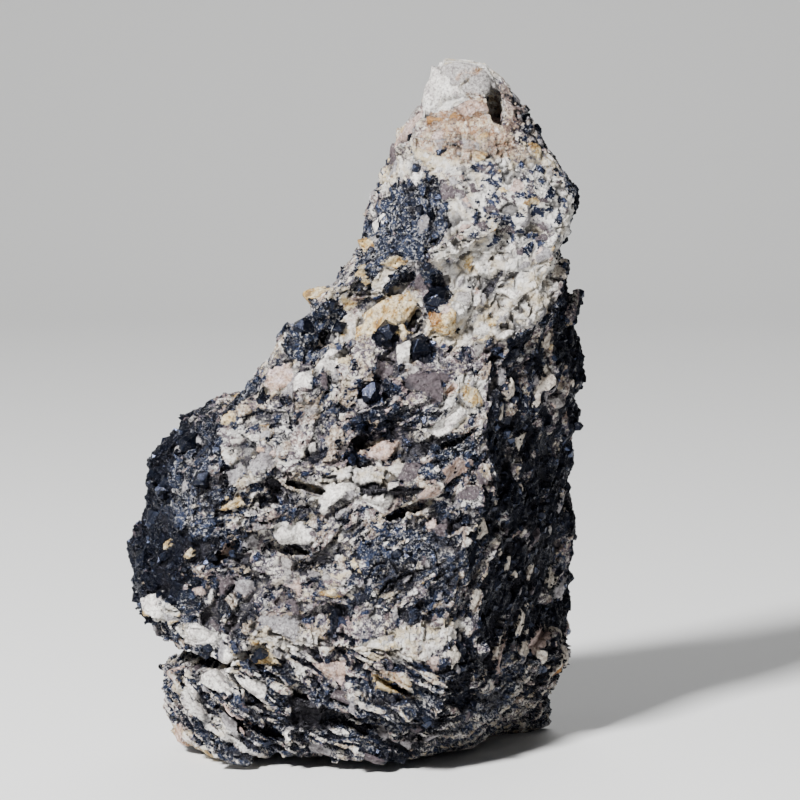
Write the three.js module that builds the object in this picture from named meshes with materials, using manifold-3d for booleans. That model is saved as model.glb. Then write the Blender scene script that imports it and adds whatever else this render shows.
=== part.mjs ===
// A hand specimen of banded zinc ore: willemite and calcite with black franklinite crystals.
// It is one broken piece of rock, standing on a few flat spots under its foot.
// Millimetres, +Z up, the broad front face towards -Y, the origin on the ground under the rock's middle.

import * as THREE from 'three';
import { mergeVertices } from 'three/addons/utils/BufferGeometryUtils.js';
import Module from 'manifold-3d';

const wasm = await Module();
wasm.setup();

// Driving dimensions.
const TOP_Z = 113;
const RIM_Z = 2;
const LEVELS = 34;
const UNDERSIDE_RINGS = 3;
const GROUND_SPAN = 200;
const GROUND_DEPTH = 40;

// The long edges of the broken block, bottom to top. Each point is [height, x, y].
const EDGES = {
  left: [
    [0, -27.5, -3], [4, -29.4, -3], [14, -31.5, -3], [20, -32.5, -2], [26, -36, -1], [33, -35.6, 0],
    [40, -33, 1], [46, -32.4, 2], [52, -27.5, 3], [56.5, -20.5, 3], [60, -15.5, 2], [66, -12, 2],
    [72, -8.5, 2], [76.5, -3, 2.5], [80, 0.2, 3], [86, 2.2, 4], [92, 4.7, 5], [98, 7, 6],
    [103, 10.4, 6], [107, 12.8, 6], [110, 15, 6.5],
  ],
  frontLeft: [
    [0, -22, -17], [10, -25, -18], [24, -29, -15], [34, -26, -16], [45, -23, -15], [54, -20, -13.5],
    [58.5, -15, -12], [66, -10.5, -10], [74, -3, -9], [79, 5, -9], [84, 11, -8], [92, 9, -6],
    [98, 8.5, -4], [104, 11.5, -2], [110, 15.5, 0],
  ],
  ridge: [
    [0, 8, -15], [4, 11.5, -20], [10, 13, -24.5], [15, 14.6, -24], [23, 15.4, -22.5], [30, 17, -21.5],
    [36, 18.5, -20.5], [44, 20.9, -19], [49, 20.1, -17.5], [59, 22.6, -15], [67, 24.5, -12.5],
    [72, 29.5, -9], [78, 30.3, -8], [83, 32.3, -7], [89.5, 34.2, -5], [95, 29.7, -4], [99, 27, -3],
    [103, 23.5, -2], [110, 19.5, 0],
  ],
  right: [
    [0, 29, 12], [2, 31, 13], [9, 35.8, 13], [15, 36.7, 13], [25, 36.1, 12], [37, 36.7, 11],
    [48, 35.8, 9], [58.6, 36.7, 6], [66, 34.5, 4], [72, 33.5, 2], [79, 31.6, 2], [86, 34, 2],
    [89.5, 34.7, 1.5], [95, 30.5, 2], [98.6, 28.7, 3], [103.8, 26.5, 4], [107.7, 22.5, 4], [110, 20, 4],
  ],
  backRight: [
    [0, 18, 23], [10, 24, 25], [25, 25, 24], [40, 25, 22], [58, 27, 19], [72, 27, 15], [86, 28, 13],
    [98, 24, 12], [110, 19, 9],
  ],
  backLeft: [
    [0, -16, 20], [10, -19, 21], [26, -22, 22], [40, -18, 21], [52, -14, 19], [60, -5, 17],
    [72, 2, 15], [86, 9, 13], [98, 11, 12], [110, 15, 9],
  ],
};

// The faces between the edges, counterclockwise from above. Bow is how far a face swells at its middle.
const FACES = [
  { name: 'front', from: 'frontLeft', to: 'ridge', columns: 18, bow: 1.5 },
  { name: 'flank', from: 'ridge', to: 'right', columns: 11, bow: 1 },
  { name: 'rightBack', from: 'right', to: 'backRight', columns: 5, bow: 1 },
  { name: 'back', from: 'backRight', to: 'backLeft', columns: 11, bow: 2 },
  { name: 'leftBack', from: 'backLeft', to: 'left', columns: 5, bow: 1 },
  { name: 'leftFlank', from: 'left', to: 'frontLeft', columns: 6, bow: 0.5 },
];

// The banding. Layers are planes that tilt up to the right and the back, and curl over in the foot.
const LAYER_THICKNESS = 6.5;
const BAND_RISE_RIGHT = 0.47;
const BAND_RISE_BACK = 0.9;
const FOLD_RISE_RIGHT = -0.75;
const FOLD_FROM_Z = 6;
const FOLD_TO_Z = 34;
const FOLD_X = 4;
const LEDGE_DEPTH = 2.6;
const LEAST_LEDGE = 0.35;
const LEDGE_PATCH = 14;
// How far the layers wander from flat: waves of a size and a seed.
const WANDER = [{ amount: 3, size: 26, seed: 11 }, { amount: 1.2, size: 9, seed: 12 }];

// The broken grains, drawn out along the layers, and the swells under them. The top is calmer.
const GRAINS = [{ height: 2.1, size: 8, seed: 31 }, { height: 0.95, size: 4, seed: 36 }];
const GRAIN_STRETCH = 1.5;
const GRAIN_FLATNESS = 0.7;
const SWELL = { amount: 0.8, size: 17, seed: 42 };
const CALM = { share: 0.45, fromZ: 78, toZ: 92 };

// The spots that the rock stands on: [x, y, reach]. Between them the underside is hollow.
const FEET = [[-22, -8, 7], [24, 10, 9], [4, 14, 9], [8, -6, 6]];
const UNDERSIDE_RISE = 1.6;
const UNDERSIDE_SWELL = { amount: 0.9, size: 9, seed: 51 };
const FOOT_DROP = 4.5;

// Cuts. A crack is [x, height, length, width, angle in degrees], on the front face.
const CRACKS = [
  [3, 51.3, 6, 2, 25], [-7, 44.2, 8, 1.4, -16], [9, 41, 9, 1.5, 24], [-9.5, 34.6, 8, 1.3, -10],
  [16.5, 51.5, 8, 1.3, 30], [-19.5, 33.8, 6, 1.7, 42], [6.5, 14.2, 9, 1.4, -24], [9.4, 70, 5, 1.2, 62],
  [-16, 18.4, 8, 1.3, 26], [-17, 13, 13, 1.3, -36], [-19.5, 8.6, 12, 1.3, -42], [-9.5, 13.6, 10, 1.3, -22],
  [-14, 6.5, 9, 1.2, -30], [2, 7, 12, 1.6, -14], [9.5, 5.8, 7, 1.4, -20],
];
const CRACK_DEPTH = 3.2;
const CRACK_START = 3;

// The deep gap that opens over the foot, narrowing to a point inwards, and the notch beside the tip.
const FOOT_GAP = { mouthLow: 12.2, mouthHigh: 21, mouthX: -40, endX: -15.5, endZ: 16.3, fromY: -30, toY: 6 };
const TIP_NOTCH = { x: 22.6, z: 102.6, width: 2.6, length: 8, angle: -80, depth: 6 };

// Flat breaks: each takes away what lies beyond a plane through a point, as far as reach around it.
const BREAKS = [
  { at: [17.5, 3, 109.4], facing: [0.08, -0.1, 1], reach: 34 },
  { at: [16.6, -0.9, 105], facing: [-0.3, -0.9, 0.34], reach: 17 },
  { at: [23.6, 4, 107.4], facing: [0.85, -0.1, 0.6], reach: 12 },
  { at: [-21, 1, 56], facing: [-0.3, -0.12, 0.93], reach: 19 },
  { at: [-9.5, 1, 64.6], facing: [-0.62, -0.1, 0.78], reach: 13 },
  { at: [-4, 21.6, 44], facing: [-0.3, 0.94, 0.12], reach: 46 },
  { at: [18, 19.8, 62], facing: [0.28, 0.94, 0.2], reach: 40 },
  { at: [34.8, 11.6, 30], facing: [0.9, 0.42, 0.05], reach: 44 },
];

// Blades and lumps of pale mineral on the front: [x, height, length, width, thickness, angle in degrees].
const BLADES = [
  [6, 71.2, 10.5, 4.2, 3.6, 30], [-10.8, 61.2, 8.5, 3.4, 3.2, 32], [-4.6, 64.4, 8.5, 1.8, 3.2, 26],
  [14, 66.8, 5.5, 3.2, 3, 64], [11.8, 43.7, 6, 2.2, 3, 22], [6.2, 15.8, 8, 2.3, 3.2, -26],
  [-16.5, 10, 7.5, 2.2, 3.4, -34], [-22.6, 8.2, 11, 2.3, 3.8, -50], [-9.2, 5.8, 4.4, 0.9, 3.4, 62],
  [-18.2, 2.6, 7, 2.2, 3.6, -16], [2.8, 3.9, 7, 1.6, 3, -18], [13.8, 56, 7, 2.8, 3.2, 42],
];
// The longest layers that jut from the front, in the same form.
const LONG_LEDGES = [
  [-9, 40.4, 19, 2.8, 4, 19], [7, 43.8, 13, 2.4, 3.8, 5], [-8, 26.2, 21, 2.8, 3.8, 22],
  [1.5, 11.6, 18, 2.6, 3.6, -9], [16.5, 81.5, 16, 2.6, 3.4, 29], [7.5, 56.8, 18, 2.6, 3.8, 21],
];
const LUMPS = [
  [-9.7, 37.4, 6.6, 4.8, 3, -8], [3.8, 49.6, 5.2, 3.4, 3, 18], [-3.5, 42.7, 12, 3.6, 3, 8],
  [-24, 21.8, 6, 3.6, 3.4, -18], [-19, 17.4, 6, 3, 3.2, 58], [-25.4, 4.2, 4.8, 3.6, 4, -42],
  [-1, 30, 9, 5, 2.2, 12], [8.4, 59.5, 10, 4.4, 2.4, 6],
];
const EDGE_LUMP = { z: 24.8, along: 0.42, size: [6.5, 3.8, 4.2], angle: 12 };

// The black crystals large enough to stand out on the front: [x, height, size across].
const FRONT_CRYSTALS = [
  [12.2, 72.6, 5], [5.3, 67.3, 4.4], [10.7, 65.7, 4.6], [2.8, 58.8, 4.6], [-5, 71, 4.2], [-2.4, 66.8, 3.8],
  [17.5, 46, 4.4], [13, 37.5, 4], [-20, 46, 4.2], [-17, 29, 4], [-6.5, 21, 4.2], [-3.5, 13.5, 4.4],
];
// Scatters of crystals: [face, how many, lowest, highest, share along it from, to, size from, to, seed].
const CRYSTAL_SCATTERS = [
  ['leftFlank', 13, 20, 55, 0.15, 0.95, 5.5, 8.5, 61], ['leftFlank', 5, 78, 97, 0.3, 0.9, 4.5, 6.5, 62],
  ['flank', 5, 10, 70, 0.1, 0.9, 4.5, 6.5, 63], ['back', 6, 10, 90, 0.1, 0.9, 5, 8, 64],
];
// Scatters of pale lenses drawn out along the layers, in the same form but with their length.
const LENS_SCATTERS = [
  ['flank', 13, 8, 76, 0.1, 0.9, 6.5, 11, 71], ['leftFlank', 3, 60, 78, 0.2, 0.8, 6, 8.5, 72],
  ['back', 5, 8, 98, 0.1, 0.9, 7, 11, 73],
];
const CRYSTAL_REACH = 0.58;
const CRYSTAL_SINK = 0.24;
const LENS_WIDTH = 0.19;
const LENS_HEIGHT = 0.17;
const BLADE_LEAN = 0.16;
const GOLDEN_SHARE = 0.618;

const unitScatter = (i, j, k, seed) => {
  let h = Math.imul(i, 374761393) ^ Math.imul(j, 668265263);
  h ^= Math.imul(k, 1440662683) ^ Math.imul(seed + 7, 1274126177);
  h = Math.imul(h ^ (h >>> 13), 1274126177);
  h = Math.imul(h ^ (h >>> 15), 668265263);
  return ((h ^ (h >>> 16)) >>> 0) / 4294967296;
};

const smooth = (t) => t * t * (3 - 2 * t);
const clamp01 = (t) => Math.min(1, Math.max(0, t));
const smoothStep = (low, high, v) => smooth(clamp01((v - low) / (high - low)));

// Value noise from -1 to 1 with features about size millimetres across.
function noise(p, size, seed = 0) {
  const x = p.x / size;
  const y = p.y / size;
  const z = p.z / size;
  const [i, j, k] = [Math.floor(x), Math.floor(y), Math.floor(z)];
  const [u, v, w] = [smooth(x - i), smooth(y - j), smooth(z - k)];
  let total = 0;
  for (let c = 0; c < 8; c += 1) {
    const [a, b, d] = [c & 1, (c >> 1) & 1, c >> 2];
    const share = (a ? u : 1 - u) * (b ? v : 1 - v) * (d ? w : 1 - w);
    total += share * unitScatter(i + a, j + b, k + d, seed);
  }
  return 2 * total - 1;
}

const swell = (p, { amount, size, seed }) => amount * noise(p, size, seed);

// How steeply the layers rise to the right at a height.
const riseRight = (z) => (
  THREE.MathUtils.lerp(FOLD_RISE_RIGHT, BAND_RISE_RIGHT, smoothStep(FOLD_FROM_Z, FOLD_TO_Z, z))
);

// The height of p above the lowest layer, measured across the layers.
function acrossLayers(p) {
  const rise = riseRight(p.z);
  const flat = p.z - rise * (p.x - FOLD_X) - BAND_RISE_BACK * p.y;
  const bent = WANDER.reduce((sum, wave) => sum + swell(p, wave), flat);
  return bent / Math.hypot(1, rise, BAND_RISE_BACK);
}

// The relief that the broken layers leave: each juts at its lower lip and steps back under it.
function ledge(p) {
  const layers = acrossLayers(p) / LAYER_THICKNESS;
  const part = layers - Math.floor(layers);
  const own = THREE.MathUtils.lerp(LEAST_LEDGE, 1, unitScatter(Math.floor(layers), 3, 5, 21));
  const comesAndGoes = clamp01(0.65 + 0.9 * noise(p, LEDGE_PATCH, 22));
  return LEDGE_DEPTH * (0.5 - part) * own * comesAndGoes;
}

// The broken grains: each cell of the banded space ends in its own flat face, tilted at random.
function grainFace(p, size, seed) {
  const q = [
    p.x / (size * GRAIN_STRETCH),
    p.y / (size * GRAIN_STRETCH),
    acrossLayers(p) / (size * GRAIN_FLATNESS),
  ];
  const cell = q.map(Math.floor);
  let nearest = Infinity;
  let face = 0;
  for (let n = 0; n < 27; n += 1) {
    const step = [n % 3, Math.floor(n / 3) % 3, Math.floor(n / 9)];
    const id = cell.map((value, k) => value + step[k] - 1);
    const draw = (k) => unitScatter(id[0], id[1], id[2], seed + k);
    const from = [0, 1, 2].map((k) => q[k] - id[k] - draw(k));
    const away = Math.hypot(...from);
    if (away < nearest) {
      nearest = away;
      face = draw(3) - 0.5 + from[0] * (draw(4) - 0.5) + from[2] * (draw(5) - 0.5) * 1.5;
    }
  }
  return face;
}

function relief(p) {
  const calm = 1 - CALM.share * smoothStep(CALM.fromZ, CALM.toZ, p.z);
  const grains = GRAINS.reduce((sum, { height, size, seed }) => sum + height * grainFace(p, size, seed), 0);
  return calm * (ledge(p) + grains) + swell(p, SWELL);
}

function alongEdge(edge, z) {
  const points = EDGES[edge];
  let n = 1;
  while (n < points.length - 1 && points[n][0] < z) n += 1;
  const [low, high] = [points[n - 1], points[n]];
  const t = clamp01((z - low[0]) / (high[0] - low[0]));
  return new THREE.Vector3(
    THREE.MathUtils.lerp(low[1], high[1], t),
    THREE.MathUtils.lerp(low[2], high[2], t),
    z,
  );
}

// A point of a face before relief, at height z and a share t of the way along it, with its outward direction.
function onFace(face, z, t) {
  const start = alongEdge(face.from, z);
  const end = alongEdge(face.to, z);
  const along = end.clone().sub(start);
  const out = new THREE.Vector3(along.y, -along.x, 0).normalize();
  const fullness = Math.min(1, along.length() / 20);
  const place = start.lerp(end, t).addScaledVector(out, face.bow * fullness * Math.sin(Math.PI * t));
  return { place, out };
}

function ringAt(z) {
  return FACES.flatMap((face) => Array.from(
    { length: face.columns },
    (_, n) => onFace(face, z, n / face.columns).place,
  ));
}

// The height of the underside at p: below the ground at the feet, just clear of it between them.
function undersideHeight(p) {
  let height = UNDERSIDE_RISE + swell(p, UNDERSIDE_SWELL);
  for (const [x, y, reach] of FEET) {
    const away = Math.hypot(p.x - x, p.y - y) / reach;
    height -= FOOT_DROP * Math.exp(-away * away);
  }
  return height;
}

// Rings drawn in towards the middle of an end, which close it. Heights come from heightOf.
function closingRings(rim, count, heightOf) {
  const middle = rim.reduce((sum, p) => sum.add(p), new THREE.Vector3()).divideScalar(rim.length);
  const rings = [];
  for (let n = 1; n <= count; n += 1) {
    rings.push(rim.map((p) => {
      const q = p.clone().lerp(middle, n / (count + 1));
      q.z = heightOf(q);
      return q;
    }));
  }
  middle.z = heightOf(middle);
  return { rings, middle };
}

// A closed skin over rings stacked bottom to top, with a pole at each end.
function skin(rings, bottom, top) {
  const columns = rings[0].length;
  const points = [bottom, ...rings.flat(), top];
  const at = (ring, column) => 1 + ring * columns + (column % columns);
  const faces = [];
  for (let c = 0; c < columns; c += 1) {
    faces.push(0, at(0, c + 1), at(0, c));
    for (let r = 0; r < rings.length - 1; r += 1) {
      const [a, b, d, e] = [at(r, c), at(r, c + 1), at(r + 1, c + 1), at(r + 1, c)];
      // The shorter diagonal keeps steep steps crisp.
      if (points[a].distanceTo(points[d]) < points[b].distanceTo(points[e])) faces.push(a, b, d, a, d, e);
      else faces.push(a, b, e, b, d, e);
    }
    faces.push(points.length - 1, at(rings.length - 1, c), at(rings.length - 1, c + 1));
  }
  const geometry = new THREE.BufferGeometry().setFromPoints(points);
  geometry.setIndex(faces);
  return geometry;
}

// The broken block with its ledges, lumps and rough grain.
function blockGeometry() {
  const rings = Array.from({ length: LEVELS }, (_, n) => (
    ringAt(THREE.MathUtils.lerp(RIM_Z, TOP_Z - 1, n / (LEVELS - 1)))
  ));
  const under = closingRings(rings[0], UNDERSIDE_RINGS, undersideHeight);
  const over = closingRings(rings.at(-1), 1, () => TOP_Z);
  const stack = [...under.rings.reverse(), ...rings, ...over.rings];
  const geometry = skin(stack, under.middle, over.middle);
  geometry.computeVertexNormals();
  const place = geometry.getAttribute('position');
  const normal = geometry.getAttribute('normal');
  const firstRaised = 1 + UNDERSIDE_RINGS * rings[0].length;
  for (let n = firstRaised; n < place.count; n += 1) {
    const p = new THREE.Vector3().fromBufferAttribute(place, n);
    const out = new THREE.Vector3().fromBufferAttribute(normal, n);
    p.addScaledVector(out, relief(p));
    place.setXYZ(n, p.x, p.y, p.z);
  }
  return geometry;
}

// A closed geometry as a solid, with its shared corners merged.
function toSolid(geometry) {
  const bare = geometry.clone();
  bare.deleteAttribute('normal');
  bare.deleteAttribute('uv');
  const merged = mergeVertices(bare, 1e-4);
  return new wasm.Manifold(new wasm.Mesh({
    numProp: 3,
    vertProperties: new Float32Array(merged.attributes.position.array),
    triVerts: new Uint32Array(merged.index.array),
  }));
}

function toGeometry(solid) {
  const mesh = solid.getMesh();
  const geometry = new THREE.BufferGeometry();
  geometry.setAttribute('position', new THREE.BufferAttribute(new Float32Array(mesh.vertProperties), 3));
  geometry.setIndex(new THREE.BufferAttribute(new Uint32Array(mesh.triVerts), 1));
  geometry.computeVertexNormals();
  return geometry;
}

const UP = new THREE.Vector3(0, 0, 1);
const faceNamed = (name) => FACES.find((face) => face.name === name);

// The surface of a face at height z and share t: its place with relief, and the direction out of it.
function surfaceAt(face, z, t) {
  const { place, out } = onFace(face, z, t);
  const rise = onFace(face, z + 2, t).place.sub(onFace(face, z - 2, t).place);
  const along = new THREE.Vector3().crossVectors(UP, out);
  const normal = along.cross(rise).normalize();
  return { place: place.addScaledVector(normal, relief(place)), out: normal };
}

function frontShare(x, z) {
  const front = faceNamed('front');
  const start = alongEdge(front.from, z).x;
  return (x - start) / (alongEdge(front.to, z).x - start);
}

// The placing matrix at a surface point: x turned by angle from level, z outwards.
function standing(place, out, angle) {
  const level = new THREE.Vector3().crossVectors(UP, out).normalize();
  const steep = new THREE.Vector3().crossVectors(out, level);
  const turn = THREE.MathUtils.degToRad(angle);
  const x = level.clone().multiplyScalar(Math.cos(turn)).addScaledVector(steep, Math.sin(turn));
  const y = new THREE.Vector3().crossVectors(out, x);
  return new THREE.Matrix4().makeBasis(x, y, out).setPosition(place);
}

// The angle at which the layers cross a face, in degrees from level.
function bandAngle(place, out) {
  const trace = new THREE.Vector3(-riseRight(place.z), -BAND_RISE_BACK, 1).cross(out);
  const level = new THREE.Vector3().crossVectors(UP, out).normalize();
  const steep = new THREE.Vector3().crossVectors(out, level);
  return THREE.MathUtils.radToDeg(Math.atan(trace.dot(steep) / trace.dot(level)));
}

// A flat prism with pointed ends, centred, its thickness along z.
function pointedPrism(length, width, thickness) {
  const [a, b] = [length / 2, width / 2];
  const outline = new THREE.Shape([
    new THREE.Vector2(-a, -0.3 * b), new THREE.Vector2(-0.4 * a, -b), new THREE.Vector2(0.7 * a, -0.9 * b),
    new THREE.Vector2(a, 0.2 * b), new THREE.Vector2(0.35 * a, b), new THREE.Vector2(-0.6 * a, 0.8 * b),
  ]);
  const prism = new THREE.ExtrudeGeometry(outline, { depth: thickness, bevelEnabled: false, steps: 1 });
  return prism.translate(0, 0, -thickness / 2);
}

// A cleavage blade leans a little, so that its lower edge stands out.
function bladeSolid([x, z, length, width, thickness, angle]) {
  const { place, out } = surfaceAt(faceNamed('front'), z, frontShare(x, z));
  const blade = pointedPrism(length, width, thickness).rotateX(BLADE_LEAN);
  return toSolid(blade.applyMatrix4(standing(place, out, angle)));
}

function lumpSolid(place, out, size, angle) {
  const ball = new THREE.DodecahedronGeometry(1, 0).scale(size[0] / 2, size[1] / 2, size[2] / 2);
  return toSolid(ball.applyMatrix4(standing(place, out, angle)));
}

function crystalSolid(place, size, turns) {
  const crystal = new THREE.OctahedronGeometry(size * CRYSTAL_REACH);
  crystal.rotateX(turns[0] * Math.PI).rotateY(turns[1] * Math.PI).rotateZ(turns[2] * Math.PI);
  return toSolid(crystal.translate(place.x, place.y, place.z));
}

// Places from a scatter row, evenly spread over the face and then shaken.
function scattered([name, count, low, high, from, to, sizeFrom, sizeTo, seed]) {
  return Array.from({ length: count }, (_, n) => {
    const draw = (k) => unitScatter(n, k, 0, seed);
    const z = THREE.MathUtils.lerp(low, high, (n + draw(1)) / count);
    const t = THREE.MathUtils.lerp(from, to, (n * GOLDEN_SHARE + 0.2 * draw(2)) % 1);
    const size = THREE.MathUtils.lerp(sizeFrom, sizeTo, draw(3) ** 2);
    return { ...surfaceAt(faceNamed(name), z, t), size, turns: [draw(4), draw(5), draw(6)] };
  });
}

function grownSolids() {
  const crystals = CRYSTAL_SCATTERS.flatMap(scattered).map(({ place, out, size, turns }) => (
    crystalSolid(place.addScaledVector(out, -size * CRYSTAL_SINK), size, turns)));
  const frontCrystals = FRONT_CRYSTALS.map(([x, z, size], n) => {
    const { place, out } = surfaceAt(faceNamed('front'), z, frontShare(x, z));
    const turns = [1, 2, 3].map((k) => unitScatter(n, k, 1, 67));
    return crystalSolid(place.addScaledVector(out, -size * CRYSTAL_SINK), size, turns);
  });
  const lenses = LENS_SCATTERS.flatMap(scattered).map(({ place, out, size }) => {
    const lens = new THREE.IcosahedronGeometry(1, 0).scale(size / 2, size * LENS_WIDTH, size * LENS_HEIGHT);
    return toSolid(lens.applyMatrix4(standing(place, out, bandAngle(place, out))));
  });
  const lumps = LUMPS.map(([x, z, length, width, thickness, angle]) => {
    const { place, out } = surfaceAt(faceNamed('front'), z, frontShare(x, z));
    return lumpSolid(place, out, [length, width, thickness], angle);
  });
  const edgeSpot = surfaceAt(faceNamed('leftFlank'), EDGE_LUMP.z, EDGE_LUMP.along);
  lumps.push(lumpSolid(edgeSpot.place, edgeSpot.out, EDGE_LUMP.size, EDGE_LUMP.angle));
  const blades = [...BLADES, ...LONG_LEDGES].map(bladeSolid);
  return [...crystals, ...frontCrystals, ...lenses, ...lumps, ...blades];
}

function crackSolid([x, z, length, width, angle], depth = CRACK_DEPTH) {
  const { place, out } = surfaceAt(faceNamed('front'), z, frontShare(x, z));
  const crack = pointedPrism(length, width, CRACK_START + depth).translate(0, 0, (CRACK_START - depth) / 2);
  return toSolid(crack.applyMatrix4(standing(place, out, angle)));
}

// The gap over the foot: a wedge open to the left and the front.
function footGapSolid() {
  const { mouthLow, mouthHigh, mouthX, endX, endZ, fromY, toY } = FOOT_GAP;
  const outline = new THREE.Shape([
    new THREE.Vector2(mouthX, mouthLow), new THREE.Vector2(endX, endZ), new THREE.Vector2(mouthX, mouthHigh),
  ]);
  const wedge = new THREE.ExtrudeGeometry(outline, { depth: toY - fromY, bevelEnabled: false, steps: 1 });
  return toSolid(wedge.rotateX(Math.PI / 2).translate(0, toY, 0));
}

// The block of space beyond a flat break.
function breakSolid({ at, facing, reach }) {
  const out = new THREE.Vector3(...facing).normalize();
  const block = new THREE.BoxGeometry(reach, reach, reach).translate(0, 0, reach / 2);
  return toSolid(block.applyMatrix4(standing(new THREE.Vector3(...at), out, 0)));
}

function groundSolid() {
  const ground = new THREE.BoxGeometry(GROUND_SPAN, GROUND_SPAN, GROUND_DEPTH);
  return toSolid(ground.translate(0, 0, -GROUND_DEPTH / 2));
}

// The whole specimen, standing on the ground and centred over the origin.
function specimenSolid() {
  const { x, z, length, width, angle, depth } = TIP_NOTCH;
  const cuts = [
    ...CRACKS.map((crack) => crackSolid(crack)),
    crackSolid([x, z, length, width, angle], depth),
    footGapSolid(),
    groundSolid(),
  ];
  const block = toSolid(blockGeometry()).subtract(wasm.Manifold.union(BREAKS.map(breakSolid)));
  const grown = wasm.Manifold.union([block, ...grownSolids()]);
  // A chip that a cut sets loose is left out.
  const bodies = grown.subtract(wasm.Manifold.union(cuts)).decompose();
  return bodies.reduce((large, body) => (body.volume() > large.volume() ? body : large));
}

const geometry = toGeometry(specimenSolid());
geometry.computeBoundingBox();
const middle = geometry.boundingBox.getCenter(new THREE.Vector3());
geometry.translate(-middle.x, -middle.y, 0);

const ore = new THREE.MeshStandardMaterial({ color: 0xb3aaa2, roughness: 0.85, metalness: 0 });
const specimen = new THREE.Mesh(geometry, ore);
specimen.name = 'specimen';
const root = new THREE.Group();
root.add(specimen);

export default root;
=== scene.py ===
"""A hand specimen of banded zinc ore: pale willemite and calcite, with black franklinite crystals.

The rock is one skin of broken grains, with larger grains cut in flush. Franklinite crystals and crumbs sit in it.
Shapes are worked out in millimetres, and meshes are in metres.
"""

import logging
import math
from dataclasses import dataclass, field
from enum import Enum

import bpy
import numpy as np
from mathutils import Euler, Matrix, Vector, noise
from mathutils.kdtree import KDTree


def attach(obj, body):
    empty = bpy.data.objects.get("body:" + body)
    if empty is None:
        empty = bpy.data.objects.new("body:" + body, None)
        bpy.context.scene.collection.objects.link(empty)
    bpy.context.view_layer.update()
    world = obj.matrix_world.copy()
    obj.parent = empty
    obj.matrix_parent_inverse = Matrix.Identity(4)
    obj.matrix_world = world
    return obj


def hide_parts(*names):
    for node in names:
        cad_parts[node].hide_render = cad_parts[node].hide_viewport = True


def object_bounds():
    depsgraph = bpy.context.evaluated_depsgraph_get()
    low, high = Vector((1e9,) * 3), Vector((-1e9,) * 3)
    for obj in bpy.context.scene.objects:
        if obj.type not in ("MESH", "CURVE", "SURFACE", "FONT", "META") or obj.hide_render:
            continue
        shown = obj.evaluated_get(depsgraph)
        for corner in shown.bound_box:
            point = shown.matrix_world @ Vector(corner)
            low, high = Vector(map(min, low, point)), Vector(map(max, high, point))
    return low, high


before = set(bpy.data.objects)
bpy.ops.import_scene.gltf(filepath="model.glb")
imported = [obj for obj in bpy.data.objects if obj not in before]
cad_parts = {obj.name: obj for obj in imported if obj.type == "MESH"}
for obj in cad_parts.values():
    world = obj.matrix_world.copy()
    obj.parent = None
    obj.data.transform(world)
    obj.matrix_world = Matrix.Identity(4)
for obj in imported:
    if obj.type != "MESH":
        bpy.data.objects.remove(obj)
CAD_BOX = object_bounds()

LOG = logging.getLogger("willemite_specimen")
MM = 0.001
NODE = "specimen"

Triple = tuple[float, float, float]
Colour = Triple
Stops = list[tuple[float, Colour]]

# Grains are drawn out along the layers. Sizes are in millimetres.
GRAIN_SHAPE = (1.4, 1.4, 0.65)
LEAF_SCALE = (0.16, 0.16, 1.0)
GRAIN = 1.9
FINE_GRAIN = 0.75

# The tip's pale cap from the front: the middle of its ellipse, and its two radii.
TIP_X, TIP_Z, TIP_WIDE, TIP_HIGH = 17.0, 106.5, 7.0, 7.5


class Mineral(Enum):
    """The minerals that the loose pieces are made of."""

    FRANKLINITE = "franklinite"
    MIXED = "mixed ore"


# ---------------------------------------------------------------- nodes


class Wire:
    """A value in a node tree. Arithmetic with it adds math nodes."""

    def __init__(self, bench: "Bench", socket: bpy.types.NodeSocket) -> None:
        """Keeps the socket, and the bench that it is worked on."""
        self.bench, self.socket = bench, socket

    def __add__(self, other: object) -> "Wire":
        """The sum."""
        return self.bench.math("ADD", self, other)

    def __sub__(self, other: object) -> "Wire":
        """The difference."""
        return self.bench.math("SUBTRACT", self, other)

    def __rsub__(self, other: object) -> "Wire":
        """The difference from a plain number."""
        return self.bench.math("SUBTRACT", other, self)

    def __mul__(self, other: object) -> "Wire":
        """The product."""
        return self.bench.math("MULTIPLY", self, other)

    def __truediv__(self, other: object) -> "Wire":
        """The quotient."""
        return self.bench.math("DIVIDE", self, other)

    __radd__ = __add__
    __rmul__ = __mul__


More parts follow.
